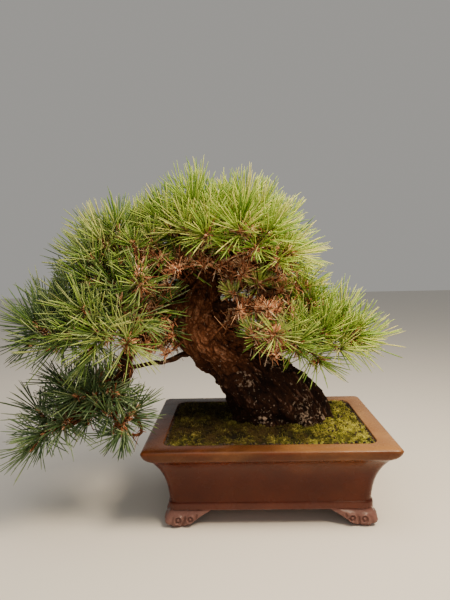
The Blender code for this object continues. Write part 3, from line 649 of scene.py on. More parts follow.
def needle_material():
    """Living pine needles: waxy, so a soft gloss; yellow-green where sunlight is painted in and blue-green
    where shade is painted in, with their straw roots darkened by painted shade.
    """
    material, shader = new_material("living_pine_needle", Roughness=0.45, IOR=1.40)
    tint, along = attribute(material, "tint"), attribute(material, "along")
    # Lit and shaded copies of the needles' colour, mixed by the painted sunlight
    shade = ramp(material, tint, ((0.0, "273E24"), (0.5, "4C683E"), (1.0, "80966E")))
    painted_sunlit = ramp(material, tint, ((0.0, "669024"), (0.5, "A2C042"), (1.0, "DAD876")))
    leaf = mix(material, attribute(material, "sun"), shade, painted_sunlit)
    # The needles' straw-coloured roots, darkened further as painted shade inside the foliage
    straw_root_and_shade = ramp(material, along, ((0.0, "FFFFFF"), (0.14, "404040"), (0.45, "000000")))
    leaf = mix(material, straw_root_and_shade, leaf, linear("6A5028"))
    tips = ramp(material, along, ((0.90, "000000"), (1.0, "6A6A6A")))
    connect(material, mix(material, tips, leaf, linear("CFC288")), shader)
    return material


def sheath_material():
    """Papery sheaths and dead needles: rust to straw, quite matt."""
    material, shader = new_material("papery_bud_sheath", Roughness=0.8, Specular_IOR_Level=0.15)
    stops = ((0.0, "7A3A24"), (0.4, "C0805A"), (0.75, "E0B68E"), (1.0, "F6E8D2"))
    connect(material, ramp(material, attribute(material, "tint"), stops), shader)
    return material


def bark_material():
    """Old pine bark: corky scales, dark in the cracks and pale on the crests, partly its own colour and
    partly painted shade and highlight, rusty higher up, with pale flecks of lichen and of painted
    highlight.
    """
    material, shader = new_material("corky_pine_bark", Roughness=0.85, Specular_IOR_Level=0.15)
    relief = attribute(material, "relief")
    # By relief: the bark's own tones, with painted shade in the cracks and painted highlight on the crests
    low = ramp(material, relief, ((0.15, "180A05"), (0.7, "331B0D"), (1.0, "7C5A4A")))
    high = ramp(material, relief, ((0.0, "28130A"), (0.5, "5E341A"), (1.0, "98684C")))
    colour = mix(material, attribute(material, "rust"), low, high)
    # Pale flecks: lichen in patches, and painted highlights over the lower trunk
    amounts = {0: attribute(material, "lichen_and_glints"), 1: 0.23, 2: grain(material, 0.0046, 5.0)}
    amount = add_node(material, "ShaderNodeMath", amounts, operation="MULTIPLY_ADD").outputs[0]
    flecks = ramp(material, amount, ((0.66, "000000"), (0.74, "C8C8C8")))
    colour = mix(material, flecks, colour, linear("C8AE98"))
    speck = ramp(material, grain(material, 0.0024, 4.0), ((0.3, "7A7A7A"), (0.62, "FFFFFF")))
    colour = mix(material, 0.8, colour, speck, "MULTIPLY")
    connect(material, colour, shader)
    bump(material, shader, grain(material, 0.0016, 5.0), 0.0009)
    return material


def twig_material():
    """Young pine twigs: scaly, orange-brown."""
    material, shader = new_material("scaly_pine_twig", Roughness=0.85, Specular_IOR_Level=0.15)
    fleck = grain(material, 0.0022, 3.0)
    colour = ramp(material, fleck, ((0.3, "1E0F08"), (0.55, "55301A"), (0.75, "8A5A36")))
    connect(material, colour, shader)
    bump(material, shader, fleck, 0.0008)
    return material


def moss_material():
    """Living moss: velvety; dark between its cushions, partly its own colour and partly painted shade;
    bright where new and where light is painted in on the right; brown where dry and in the trunk's painted
    shadow.
    """
    material, shader = new_material("living_moss", Roughness=0.95, Specular_IOR_Level=0.15)
    relief = attribute(material, "relief")
    # By relief: the hollows between the cushions dark, partly the moss's own colour and partly painted
    # shade
    dark = ramp(material, relief, ((0.2, "040201"), (0.5, "161005"), (0.8, "3E3414"), (1.0, "766C34")))
    light = ((0.2, "0E0C03"), (0.45, "484A14"), (0.75, "A3A03C"), (1.0, "D6CE70"))
    bright = ramp(material, relief, light)
    # Mixed by freshness, which carries painted light on the right and the front edge
    colour = mix(material, attribute(material, "fresh_and_painted_light"), dark, bright)
    # Brown where dry and in the trunk's painted shadow
    colour = mix(material, attribute(material, "dry_and_painted_shadow"), colour, linear("32260F"))
    connect(material, colour, shader)
    bump(material, shader, grain(material, 0.0012, 3.0), 0.0008)
    return material


def grain_material():
    """Baked clay grains: dark, matt and dusty."""
    material, shader = new_material("baked_clay_grain", Roughness=0.95)
    colour = ramp(material, grain(material, 0.004), ((0.4, "0C0805"), (0.8, "4B3626")))
    connect(material, colour, shader)
    return material


def stoneware_material():
    """Unglazed red stoneware, burnished while damp: satin, with a tan bloom where it is handled,
    strengthened on the right by painted light, painted shade on the rim's left and painted pinkish light on
    the feet and the band.
    """
    material, shader = new_material("unglazed_red_stoneware", IOR=1.45, Specular_IOR_Level=0.22)
    cloud = grain(material, 0.07, 3.0)
    clay = ramp(material, cloud, ((0.3, "3E1405"), (0.55, "4A1B08"), (0.75, "5A2610")))
    bloom_and_painted_light = ramp(material, cloud, ((0.3, "845C38"), (0.6, "966C42"), (0.8, "AA8456")))
    # The tan bloom, strengthened on the right as painted light
    colour = mix(material, attribute(material, "bloom_and_painted_light"), clay, bloom_and_painted_light)
    # Painted pinkish light on the feet and the band
    colour = mix(material, attribute(material, "painted_pink_light"), colour, linear("A07C76"))
    # Painted shade, dark on the rim's left
    colour = mix(material, attribute(material, "left_rim_painted_shade"), colour, linear("240C04"))
    speck = ramp(material, grain(material, 0.0022, 2.0), ((0.35, "D2D2D2"), (0.6, "FFFFFF")))
    connect(material, mix(material, 0.4, colour, speck, "MULTIPLY"), shader)
    rough = ramp(material, grain(material, 0.02, 4.0), ((0.2, "6E6E6E"), (0.8, "A0A0A0")))
    connect(material, rough, shader, "Roughness")
    bump(material, shader, grain(material, 0.0018, 4.0), 0.0002)
    return material


def plastic_material():
    """Moulded polythene mesh: black and slightly waxy."""
    material, shader = new_material("moulded_black_polythene", Roughness=0.5, IOR=1.5)
    fleck = ramp(material, grain(material, 0.003), ((0.3, "101010"), (0.7, "1C1C1C")))
    connect(material, fleck, shader)
    return material


def floor_material():
    """Matt pale paint."""
    return new_material("matt_pale_paint", Roughness=0.9, Base_Color=linear("D9D5CE"))[0]


# Shoots and twigs


def limb_paths():
    """Every limb as a smooth path of (x, y, z, radius) rows, two steps to a stretch."""
    return {name: smooth_path(rows, 2 * (len(rows) - 1)) for name, rows in LIMBS.items()}


def dome_points(pad, count):
    """Places and headings over a pad's dome, by the golden angle from its top.

    Point k lies at height 1 - (k + 0.5) / count * (1 - cos(reach)) on a unit ball, which is
    stretched to the pad's radii, tilted by its hang and moved to its middle.
    """
    _, centre, radii, hang, reach, *_ = PADS[pad]
    k = np.arange(count)
    height = 1 - (k + 0.5) / count * (1 - math.cos(math.radians(reach)))
    across = np.sqrt(np.maximum(0, 1 - height * height))
    angle = k * GOLDEN_ANGLE + FIRST_SHOOT_ANGLE
    normal = np.stack((across * np.cos(angle), across * np.sin(angle), height), -1)
    lean = np.array(Matrix.Rotation(-math.radians(hang), 3, "Y"))
    places = np.array(centre) + normal * np.array(radii) @ lean.T
    headings = unit(unit(normal / np.array(radii)) @ lean.T + (0.0, 0.0, UP_BIAS))
    return places, headings


def pad_gap(points, pad):
    """How far points lie outside a pad's dome, negative inside.

    With p along the dome's own axes, r its radii and k = |p / r|, it is k * (k - 1) / |p / r^2|.
    """
    _, centre, radii, hang, *_ = PADS[pad]
    lean = np.array(Matrix.Rotation(-math.radians(hang), 3, "Y"))
    local = (points - np.array(centre)) @ lean
    share = np.linalg.norm(local / np.array(radii), axis=1)
    return share * (share - 1) / np.linalg.norm(local / np.square(radii), axis=1)


def foliage_gap(points):
    """How far points lie outside all domes blended: -k * log(sum of exp(-gap / k))."""
    gaps = np.stack([pad_gap(points, pad) for pad in PADS])
    return -PAD_BLEND * np.log(np.exp(-gaps / PAD_BLEND).sum(axis=0))


def foliage_outward(points):
    """The way straight out of the blended domes, from differences over 2 mm."""
    steps = np.eye(3) * 0.001
    slopes = [foliage_gap(points + step) - foliage_gap(points - step) for step in steps]
    return unit(np.stack(slopes, 1))


def in_open_front(places):
    """1 for places in a box under the crown where shoots are few and short, else 0."""
    inside = [np.all((places > low) & (places < high), axis=-1) for low, high in np.array(OPEN_FRONT)]
    return np.any(inside, axis=0).astype(float)


def spare_shoots(pad, rng):
    """Places just under the blended domes' skin where more shoots could stand, and headings."""
    places, _ = dome_points(pad, SPARE_SHOOTS)
    others = [other for other in PADS if other != pad]
    places = places[np.min([pad_gap(places, other) for other in others], axis=0) > -0.010]
    for _ in range(4):
        places = places - foliage_gap(places)[:, None] * foliage_outward(places)
    outward = foliage_outward(places)
    headings = unit(outward + rng.normal(0, 0.26, places.shape) + (0.0, 0.0, SPARE_UP_BIAS))
    places = places - outward * rng.uniform(0.002, 0.026, (len(places), 1))
    kept = (in_open_front(places) < 1) | (rng.random(len(places)) < 0.12)
    return places[kept], headings[kept]


def place_shoots(rng):
    """Where shoots stand: the CAD model's, those that stand out, then ones where it is barest.

    Each pad gets its shoots' places, headings and how long their needles are.
    """
    shoots = {}
    for pad in PADS:
        cad_count = PADS[pad].sprays
        places, headings = dome_points(pad, cad_count)
        vigour = rng.uniform(0.80, 1.05, cad_count) * (1 - 0.5 * in_open_front(places))
        if pad in SHOWN_TUFTS:
            shown_places, shown_headings, shown_vigour, _ = zip(*SHOWN_TUFTS[pad])
            places = np.vstack((places, shown_places))
            headings = np.vstack((headings, unit(np.array(shown_headings))))
            vigour = np.concatenate((vigour, shown_vigour))
        shoots[pad] = places, headings, vigour
    for pad in PADS:
        spare, spare_headings = spare_shoots(pad, rng)
        for _ in range(PADS[pad].shoots - len(shoots[pad][0])):
            taken = np.vstack([places for places, _, _ in shoots.values()])
            apart = np.linalg.norm(spare[:, None] - taken[None], axis=2).min(axis=1)
            barest = int(np.argmax(apart))
            places, headings, vigour = shoots[pad]
            places = np.vstack((places, spare[barest]))
            headings = np.vstack((headings, spare_headings[barest]))
            own_vigour = rng.uniform(0.72, 1.05) * (1 - 0.5 * in_open_front(spare[barest]))
            shoots[pad] = places, headings, np.append(vigour, own_vigour)
    return shoots


def twig_path(place, heading, limbs, share):
    """A twig from its limb to a shoot's tip: it leaves at a slant and turns to the heading."""
    nearest = [int(np.argmin(np.linalg.norm(limb[:, :3] - place, axis=1))) for limb in limbs]
    reach = [np.linalg.norm(limb[k, :3] - place) for limb, k in zip(limbs, nearest)]
    chosen = int(np.argmin(reach))
    limb, back = limbs[chosen], max(nearest[chosen] - 2, 0)
    root = (1 - share) * limb[back] + share * limb[back + 1]
    foot = place - heading * CORE_LENGTH
    length = np.linalg.norm(foot - root[:3])
    bend = foot - heading * 0.45 * length
    t = np.linspace(0, 1, 8)[:, None]
    line = (1 - t) ** 2 * root[:3] + 2 * t * (1 - t) * bend + t**2 * foot
    line = np.vstack((line, place))
    radii = np.append(np.linspace(min(root[3] * 0.7, TWIG_RADIUS), CORE_RADIUS, 8), CORE_RADIUS * 0.7)
    return np.column_stack((line, radii))


def undergrowth_twigs(paths, rng):
    """Bare old twigs under the crown and along the limbs, (n, 9, 4)."""
    twigs = []
    for limbs, low, high, count in UNDERGROWTH:
        feeders = [paths[limb] for limb in limbs]
        for place in rng.uniform(low, high, (count, 3)):
            heading = unit(rng.normal(0, 0.5, 3) + (0.0, -0.25, 0.55))
            twig = twig_path(place, heading, feeders, rng.uniform())
            twig[:, 3] *= 0.62
            twigs.append(twig)
    return np.array(twigs)


def dry_hearts(shoots, twigs):
    """The twig of each shown tuft, once for every dry bit in its heart."""
    found, start = [], 0
    for pad, (places, _, _) in shoots.items():
        shown = [row[3] for row in SHOWN_TUFTS.get(pad, ())]
        first = start + PADS[pad].sprays
        found.append(np.repeat(twigs[first : first + len(shown)], shown, axis=0))
        start += len(places)
    return np.concatenate([rows for rows in found if len(rows)])


def all_shoots():
    """Every pad's shoots, their twigs, (n, 9, 4), and the bare twigs of the undergrowth."""
    rng = np.random.default_rng(SEED)
    paths = limb_paths()
    shoots, twigs = place_shoots(rng), []
    for pad, (places, headings, _) in shoots.items():
        feeders = [paths[limb] for limb in PADS[pad].limbs]
        for number, (place, heading) in enumerate(zip(places, headings), 1):
            twigs.append(twig_path(place, heading, feeders, number * 0.41 % 1))
    return shoots, np.array(twigs), undergrowth_twigs(paths, rng)


# Needles


def spread_directions(headings, polar, azimuth):
    """Unit vectors at the polar angle from each heading, turned round it by the azimuth."""
    side = unit(np.cross(headings, OBLIQUE))[:, None]
    other = np.cross(headings[:, None], side)
    turned = np.cos(azimuth)[..., None] * side + np.sin(azimuth)[..., None] * other
    return np.cos(polar)[..., None] * headings[:, None] + np.sin(polar)[..., None] * turned


def clear_of_pot(tips):
    """True where a needle's tip is off the moss, the pot's rim and the floor."""
    reach = np.array((POT_LENGTH, POT_DEPTH)) / 2 + POT_CLEARANCE
    over = np.all(np.abs(tips[:, :2]) < reach, axis=1)
    return tips[:, 2] > np.where(over, LOWEST_OVER_POT, LOWEST_OVER_FLOOR)


def clear_of_trunk(tips):
    """True where a needle's tip is outside the trunk."""
    path = smooth_path(TRUNK, 40)
    gaps = np.linalg.norm(tips[:, None] - path[None, :, :3], axis=2) - path[:, 3]
    return gaps.min(axis=1) > 0.0


def painted_sun_share(places):
    """How much sunlight is painted into the needles' colour at a place, 0 to 1: most high up, on the right
    and furthest forward.
    """
    share = 0.5 + 2.2 * (places[..., 0] + 0.13) + 2.8 * (places[..., 2] - 0.30)
    forward = 0.30 * smoothstep(0.085, 0.112, -places[..., 1]) * smoothstep(0.20, 0.24, places[..., 2])
    return np.clip(share + forward, 0, 1)


def make_needles(pad, shoots, rng, needle, sheath):
    """A pad's needles in pairs, each pair in a sheath on the last stretch of its shoot.

    A needle runs from its root along d * L * t + b * L * t^2, with d its direction, L its
    length and b a small upward and random bend.
    """
    places, headings, vigour = shoots
    lift, steepest, reach = NEEDLE_HABIT[pad]
    k = np.arange(PAIRS_PER_SHOOT)
    share = (k + 0.5) / PAIRS_PER_SHOOT
    shape = (len(places), PAIRS_PER_SHOOT)
    polar = np.radians(LOWEST_POLAR - POLAR_DROP * share**1.1 + rng.normal(0, POLAR_SCATTER, shape))
    azimuth = k * GOLDEN_ANGLE + rng.normal(0, 0.3, shape)
    middle = unit(spread_directions(headings, polar, azimuth) + (0.0, 0.0, lift))
    along = (0.25 + 0.75 * share)[:, None] - 1
    roots = places[:, None] + headings[:, None] * CORE_LENGTH * along
    across = unit(np.cross(middle, rng.normal(0, 1, (*shape, 3))))
    roots, middle, across = (a.reshape(-1, 3) for a in (roots, middle, across))
    ends = roots + middle * SHEATH_LENGTH
    length = NEEDLE_LENGTH * reach * np.repeat(vigour, PAIRS_PER_SHOOT)
    length = length * rng.uniform(0.86, 1.05, len(ends))
    bend = rng.normal(0, NEEDLE_BEND, (len(ends), 3)) + (0, 0, 0.02)
    t = np.array((0.0, 0.35, 0.86, 1.0))[None, :, None]
    girth = np.array((0.85, 1.0, 0.88, 0.30)) * NEEDLE_RADIUS
    # Painted sunlight, from each shoot's place
    sun = np.repeat(painted_sun_share(places), PAIRS_PER_SHOOT)
    tint = np.repeat(rng.uniform(0.25, 0.75, len(places)), PAIRS_PER_SHOOT)
    halves = []
    for sign in (-1, 1):
        run = unit(middle + sign * PAIR_SPREAD * across)
        far = (length * rng.uniform(0.95, 1.05, len(length)))[:, None, None]
        start = ends - middle * 0.003
        paths = start[:, None] + (run[:, None] * t + bend[:, None] * t**2) * far
        tips = paths[:, -1]
        keep = clear_of_pot(tips) & clear_of_trunk(tips) & (run[:, 2] > steepest)
        tints = tint[keep] + rng.normal(0, TINT_SCATTER, keep.sum())
        suns = sun[keep] + rng.uniform(*SUN_SCATTER, keep.sum())
        halves.append((paths[keep], tints, suns))
    paths, tints, suns = (np.concatenate(half) for half in zip(*halves))
    values = {"tint": tints, "sun": suns, "along": np.broadcast_to(t[:, :, 0], paths.shape[:2])}
    nodes = [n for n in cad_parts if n.startswith(f"{pad}_spray_")]
    make_rods(f"{pad}_needles", paths, girth, 3, needle, values, nodes)
    paths = np.stack((roots - middle * 0.001, ends), 1)
    tints = rng.uniform(0.3, 1.0, len(paths))
    radii = SHEATH_RADIUS * np.array((1.0, 0.8))
    make_rods(f"{pad}_sheaths", paths, radii, 3, sheath, {"tint": tints})


def make_buds(shoots, rng, material):
    """Resting buds at the shoots' tips: spindles, thickest a third of the way up."""
    places, headings, _ = (np.concatenate(part) for part in zip(*shoots.values()))
    places, headings = (np.repeat(part, BUDS_PER_SHOOT, axis=0) for part in (places, headings))
    run = unit(headings + rng.normal(0, BUD_SCATTER, headings.shape))
    size = rng.uniform(0.6, 1.15, len(places))
    t = np.array((0.0, 0.3, 0.7, 1.0))[None, :, None]
    gone = run[:, None] * t * (BUD_LENGTH * size)[:, None, None]
    paths = (places - headings * 0.002)[:, None] + gone
    radii = np.array((0.7, 1.0, 0.7, 0.15)) * (BUD_RADIUS * size)[:, None]
    tints = rng.uniform(0.1, 0.8, len(paths))
    make_rods("resting_buds", paths, radii, 5, material, {"tint": tints})


def make_dry_bits(name, twigs, per_twig, stretch, bits, rng, material):
    """Old sheaths and dead needles left on twigs below the living needles.

    Each bit starts on the given stretch of its twig, in steps from its root, and leans outwards
    and forwards. None starts in the bare box, and low ones are darker. bits holds their size
    and the dead needles' share.
    """
    size, dead_share = bits
    at = rng.uniform(*stretch, (len(twigs), per_twig))
    low = at.astype(int)
    part = (at - low)[..., None]
    rows = np.arange(len(twigs))[:, None]
    first, second = twigs[rows, low, :3], twigs[rows, low + 1, :3]
    roots = (first * (1 - part) + second * part).reshape(-1, 3)
    run = unit(second - first).reshape(-1, 3)
    out = unit(np.cross(run, rng.normal(0, 1, run.shape)))
    heading = unit(out + run * rng.uniform(0.2, 1.1, len(run))[:, None])
    dead = rng.random(len(run)) < dead_share
    lengths = [rng.uniform(*kind[:2], len(run)) for kind in (DEAD_NEEDLE, OLD_SHEATH)]
    length = size * np.where(dead, *lengths)
    kept = ~np.all((roots > BARE_BOX[0]) & (roots < BARE_BOX[1]), axis=1)
    paths = np.stack((roots, roots + heading * length[:, None]), 1)[kept]
    radii = np.where(dead, DEAD_NEEDLE[2], OLD_SHEATH[2])[kept, None] * np.array((1.0, 0.55))
    shade = 0.3 + 0.7 * smoothstep(0.17, 0.24, paths[:, 0, 2])
    tints = shade * rng.beta(1.6, 1.9, len(paths))
    make_rods(name, paths, radii, 3, material, {"tint": tints})


# Wood


def bark_relief(straight, size, seed):
    """How far bark stands out of its cracks, 0 to 1, over a trunk unrolled along its grain.

    Fissures run where layered noise drawn out along the grain passes its middle value. Scales
    are cells of two sizes, each at its own height, parted where two sites are equally far.
    """
    warp = np.stack([layered_noise(straight, size * 1.2, seed + k, 2) for k in (11, 12, 13)], -1) - 0.5
    warped = straight + warp * size * 1.2
    fissures = smoothstep(0.0, 0.20, np.abs(2 * layered_noise(warped, size * 1.5, seed, 2) - 1))
    near, second, own = plates(warped, size * 0.9, seed + 3)
    scales = smoothstep(0.0, 0.22, second - near) * (0.35 + 0.65 * own)
    near, second, own = plates(warped, size * 0.36, seed + 5)
    flakes = smoothstep(0.0, 0.35, second - near) * (0.3 + 0.7 * own)
    rough = layered_noise(straight, size * 0.4, seed + 21)
    return 0.24 * fissures + 0.22 * scales + 0.30 * flakes + 0.24 * rough


def stem_rings(sections, count, sides):
    """A lobed trunk before its bark: its points, the ways out, and the points unrolled.

    At angle a a point lies at width * cos(a) sideways and depth * sin(a) backwards from the
    middle line, both times 1 + swell * cos(lobes * a); the root lobes fade with height. Unrolled,
    a point keeps these two and has the middle line's length, squeezed, as its third.
    """
    path = smooth_path(sections, count)
    middles, widths, depths = path[:, :3], path[:, 3:4], path[:, 4:5]
    tangents = unit(np.gradient(middles, axis=0))
    lean = np.clip((middles[:, 2:] - SOIL_LEVEL) / LEAN_START, 0, 1)
    tangents = unit(lean * tangents + (1 - lean) * (0.0, 0.0, 1.0))
    side = unit(np.cross((0.0, 1.0, 0.0), tangents))
    back = np.cross(tangents, side)
    angles = np.linspace(0, 2 * math.pi, sides, endpoint=False)
    above = np.maximum(middles[:, 2:] - SOIL_LEVEL, 0)
    swell = 1 + ROOT_SWELL * np.exp(-above / ROOT_FADE) * np.cos(ROOT_LOBES * angles + ROOT_TURN)
    swell = swell + BARK_SWELL * np.cos(BARK_LOBES * angles + BARK_TWIST * middles[:, 2:])
    sideways, backward = widths * swell * np.cos(angles), depths * swell * np.sin(angles)
    offset = sideways[..., None] * side[:, None] + backward[..., None] * back[:, None]
    gone = np.append(0, np.cumsum(np.linalg.norm(np.diff(middles, axis=0), axis=1)))
    along = np.broadcast_to(gone[:, None] * GRAIN_SQUEEZE, sideways.shape)
    unrolled = np.stack((sideways, backward, along), -1)
    return [part.reshape(-1, 3) for part in (middles[:, None] + offset, unit(offset), unrolled)]


def lichen_and_glint_share(points):
    """How thick pale flecks stand, 0 to 1: lichen, thickest about a few places on the trunk, and painted
    highlights spread thinly over the lower trunk.
    """
    gaps = np.linalg.norm(points[:, None] - np.array(LICHEN_SPOTS)[None, :, :3], axis=2)
    nearness = np.exp(-((gaps / np.array(LICHEN_SPOTS)[:, 3]) ** 2)).max(axis=1)
    return np.maximum(0.85 * nearness, 0.08 * smoothstep(0.25, 0.18, points[:, 2]))


def cleft_share(points):
    """1 in the cleft down the front of the old shoulder, falling off to both sides."""
    line = smooth_path(CLEFT, 40)
    gaps = np.linalg.norm(points[:, None, ::2] - line[None, :, ::2], axis=2).min(axis=1)
    return np.exp(-((gaps / CLEFT_WIDTH) ** 2)) * smoothstep(0.0, -0.012, points[:, 1])


def make_trunk(material):
    """The trunk and its old shoulder under cracked bark, up to 5 mm deep."""
    parts = []
    for sections, count, sides, seed in ((TRUNK, 300, 220, 3), (SHOULDER, 120, 160, 8)):
        flat, out, unrolled = stem_rings(sections, count, sides)
        share = bark_relief(unrolled, BARK_SCALE, seed)
        girth = np.hypot(unrolled[:, 0], unrolled[:, 1])
        broad = layered_noise(flat, 0.030, seed + 30) - 0.5
        cleft = cleft_share(flat)
        lift = (share - 0.5) * (0.0010 + 0.0075 * smoothstep(0.006, 0.030, girth))
        lift = lift + broad * 0.012 * smoothstep(0.01, 0.03, girth) - cleft * 0.008
        moved = flat + out * lift[:, None]
        rise = smoothstep(0.165, 0.235, flat[:, 2]) * smoothstep(0.02, -0.03, flat[:, 0] + 0.02)
        values = {
            # The relief sets the colour: the cracks and the cleft get painted shade, the crests painted
            # highlight
            "relief": (share * 1.5 - 0.28) * (1 - 0.9 * cleft),
            "rust": np.clip(rise * (0.7 + 0.5 * layered_noise(flat, 0.03, seed + 50)), 0, 1),
            "lichen_and_glints": lichen_and_glint_share(moved) * (1 - cleft),
        }
        parts.append((moved, grid_faces(count + 1, sides), values))
    points, faces, values = stack_parts(parts)
    make_piece("bark_covered_trunk", points, faces, material, ("trunk_and_branches",), values)


def make_limbs(material):
    """Limbs as tubes with a collar at the trunk, kinks on thin ones, and finer bark."""
    parts = []
    for number, (name, rows) in enumerate(LIMBS.items()):
        path = smooth_path(rows, 20 * (len(rows) - 1))
        line, radii = path[:, :3], path[:, 3]
        gone = np.linspace(0, 1, len(path))
        collar = 1 + 0.7 * np.exp(-gone / 0.12)
        knots = [soft_noise(line, 0.016, 140 + number + k) - 0.5 for k in (0, 20, 40)]
        middle = line + 0.010 * np.stack(knots, -1) * (np.sin(math.pi * gone) ** 0.5)[:, None]
        thickness = radii * collar * (0.82 + 0.36 * soft_noise(line, 0.011, 170 + number))
        points, faces = rods(middle[None], thickness[None], LIMB_SIDES)
        points = points.reshape(-1, 3)
        out = unit(points - np.repeat(middle, LIMB_SIDES, axis=0))
        share = bark_relief(points, 0.0075, 60 + number)
        points = points + out * ((share - 0.5) * np.repeat(radii * 0.5, LIMB_SIDES))[:, None]
        values = {
            "relief": share * 1.5 - 0.28,
            # Less rust on the limbs that hang in the shade darkens them: painted shade
            "rust": np.full(len(points), 0.15 if name in PAINTED_SHADE_LIMBS else 0.75),
            "lichen_and_glints": 0.5 * lichen_and_glint_share(points),
        }
        parts.append((points, faces, values))
    points, faces, values = stack_parts(parts)
    make_piece("limbs", points, faces, material, (), values)


def make_twigs(twigs, material):
    """The twigs and the woody cores of the shoots."""
    make_rods("twigs", twigs[:, :, :3], twigs[:, :, 3], 6, material)


# Moss and soil


def rounded_ring(half_x, half_y, radius, corner_steps, long_steps, short_steps):
    """Points of a rounded rectangle, anticlockwise from above, as (n, 2)."""
    points = []
    for turn, (sx, sy) in enumerate(((1, 1), (-1, 1), (-1, -1), (1, -1))):
        centre = np.array((sx * (half_x - radius), sy * (half_y - radius)))
        angles = np.radians(90 * turn + np.linspace(0, 90, corner_steps + 1))
        arc = centre + radius * np.stack((np.cos(angles), np.sin(angles)), 1)
        points.append(arc)
        steps = long_steps if turn % 2 == 0 else short_steps
        straight = 2 * ((half_x if turn % 2 == 0 else half_y) - radius)
        heading = np.array((-np.sin(angles[-1]), np.cos(angles[-1])))
        gone = np.arange(1, steps)[:, None] * straight / steps
        points.append(arc[-1] + heading * gone)
    return np.vstack(points)


def moss_height(flat):
    """Height of the moss at (x, y) and its relief: a mound under cushions under small tufts.

    Cushions and tufts are cells: each bulges as 1 - d^2 with d the distance to its site, by its
    own amount. All of it flattens towards the pot's wall.
    """
    x, y = flat[:, 0], flat[:, 1]
    edge = np.maximum(np.abs(x) / (POT_LENGTH / 2 - RIM_WIDTH), np.abs(y) / (POT_DEPTH / 2 - RIM_WIDTH))
    edge = np.clip(edge, 0, 1)
    solid = np.column_stack((x, y, np.zeros(len(x))))
    drift = np.stack([soft_noise(solid, 0.010, 91 + k) for k in range(3)], -1) - 0.5
    near, _, own = plates(solid + 0.008 * drift, CUSHION_SIZE, 70)
    cushion = np.clip(1 - near**2, 0, 1) * (0.3 + 0.7 * own)
    near, _, own = plates(solid + 0.003 * drift, TUFT_SIZE, 75)
    tuft = np.clip(1 - 1.3 * near**2, 0, 1) * (0.4 + 0.6 * own)
    fine = layered_noise(solid, 0.0034, 72, 2)
    inner = 1 - edge**8
    height = MOSS_EDGE + MOUND_HEIGHT * (1 - edge**2) + MOSS_LOFT * inner
    height = height + inner * (CUSHION_RISE * cushion + TUFT_RISE * tuft)
    height = height + 0.0012 * (fine - 0.5) - 0.0016
    rim_gap = smoothstep(0.955, 0.985, edge + 0.05 * (fine - 0.5))
    # The relief also colours the moss: its hollows and the gap at the pot's wall get painted shade
    relief = (0.42 * cushion + 0.42 * tuft + 0.36 * fine) * (1 - 0.8 * rim_gap)
    return height - 0.0012 * rim_gap, relief


def moss_tone(flat):
    """How fresh and how dry the moss is, each partly its own variety and partly painted light and shadow:
    fresh to the right and along the front edge, where light falls, and dry round the trunk, as its painted
    shadow.
    """
    x, y = flat[:, 0], flat[:, 1]
    solid = np.column_stack((x, y, np.zeros(len(x))))
    patch = layered_noise(solid, 0.040, 80)
    right = smoothstep(0.03, 0.11, x + 0.10 * (patch - 0.5))
    front = smoothstep(-0.066, -0.094, y + 0.05 * (patch - 0.5)) * (0.05 + 0.5 * smoothstep(-0.03, 0.07, x))
    fresh_and_painted_light = np.clip(0.04 + 0.85 * np.maximum(right, front) + 0.8 * (patch - 0.5), 0, 1)
    # The trunk's shadow, painted into the moss as dryness
    trunk = np.exp(-(((x - 0.03) / 0.085) ** 2 + (y / 0.075) ** 2) * 1.2)
    dry_and_painted_shadow = smoothstep(0.45, 0.72, layered_noise(solid, 0.016, 84) + 0.30 * trunk) * 0.85
    return fresh_and_painted_light, dry_and_painted_shadow * (1 - 0.6 * right)


def rounded_grid(half_x, half_y, radius, count_x, count_y):
    """A grid over a rounded rectangle, (count_y, count_x, 2).

    In each corner's square, a point (a, b) of the unit square moves to
    (a * sqrt(1 - b^2 / 2), b * sqrt(1 - a^2 / 2)), which lies in the quarter disc.
    """
    x, y = np.meshgrid(np.linspace(-half_x, half_x, count_x), np.linspace(-half_y, half_y, count_y))
    a = np.clip((np.abs(x) - half_x + radius) / radius, 0, 1)
    b = np.clip((np.abs(y) - half_y + radius) / radius, 0, 1)
    x = x - np.sign(x) * radius * a * (1 - np.sqrt(1 - b * b / 2))
    y = y - np.sign(y) * radius * b * (1 - np.sqrt(1 - a * a / 2))
    return np.stack((x, y), -1)


def make_moss(material):
    """The moss: a grid lifted by the moss's height, closed by a skirt and a flat underside."""
    half_x, half_y = POT_LENGTH / 2 - MOSS_INSET, POT_DEPTH / 2 - MOSS_INSET
    grid = rounded_grid(half_x, half_y, INSIDE_CORNER, 256, 178)
    rows, columns = grid.shape[:2]
    flat = grid.reshape(-1, 2)
    height, relief = moss_height(flat)
    fresh_and_painted_light, dry_and_painted_shadow = moss_tone(flat)
    top = np.column_stack((flat, height))
    ids = np.arange(rows * columns).reshape(rows, columns)
    edge = np.concatenate((ids[0, :-1], ids[:-1, -1], ids[-1, :0:-1], ids[:0:-1, 0]))
    skirt = top[edge] * (1, 1, 0) + (0, 0, MOSS_UNDERSIDE)
    low = len(top) + np.arange(len(edge))
    quads = np.stack((ids[:-1, :-1], ids[:-1, 1:], ids[1:, 1:], ids[1:, :-1]), -1).reshape(-1, 4)
    walls = np.stack((low, np.roll(low, -1), np.roll(edge, -1), edge), -1)
    values = {"relief": relief, "fresh_and_painted_light": fresh_and_painted_light, "dry_and_painted_shadow": dry_and_painted_shadow}
    values = {key: np.concatenate((v, v[edge])) for key, v in values.items()}
    faces = [quads, walls, low[None, ::-1]]
    points = np.vstack((top, skirt))
    make_piece("moss_cushions", points, faces, material, ("moss_carpet",), values)


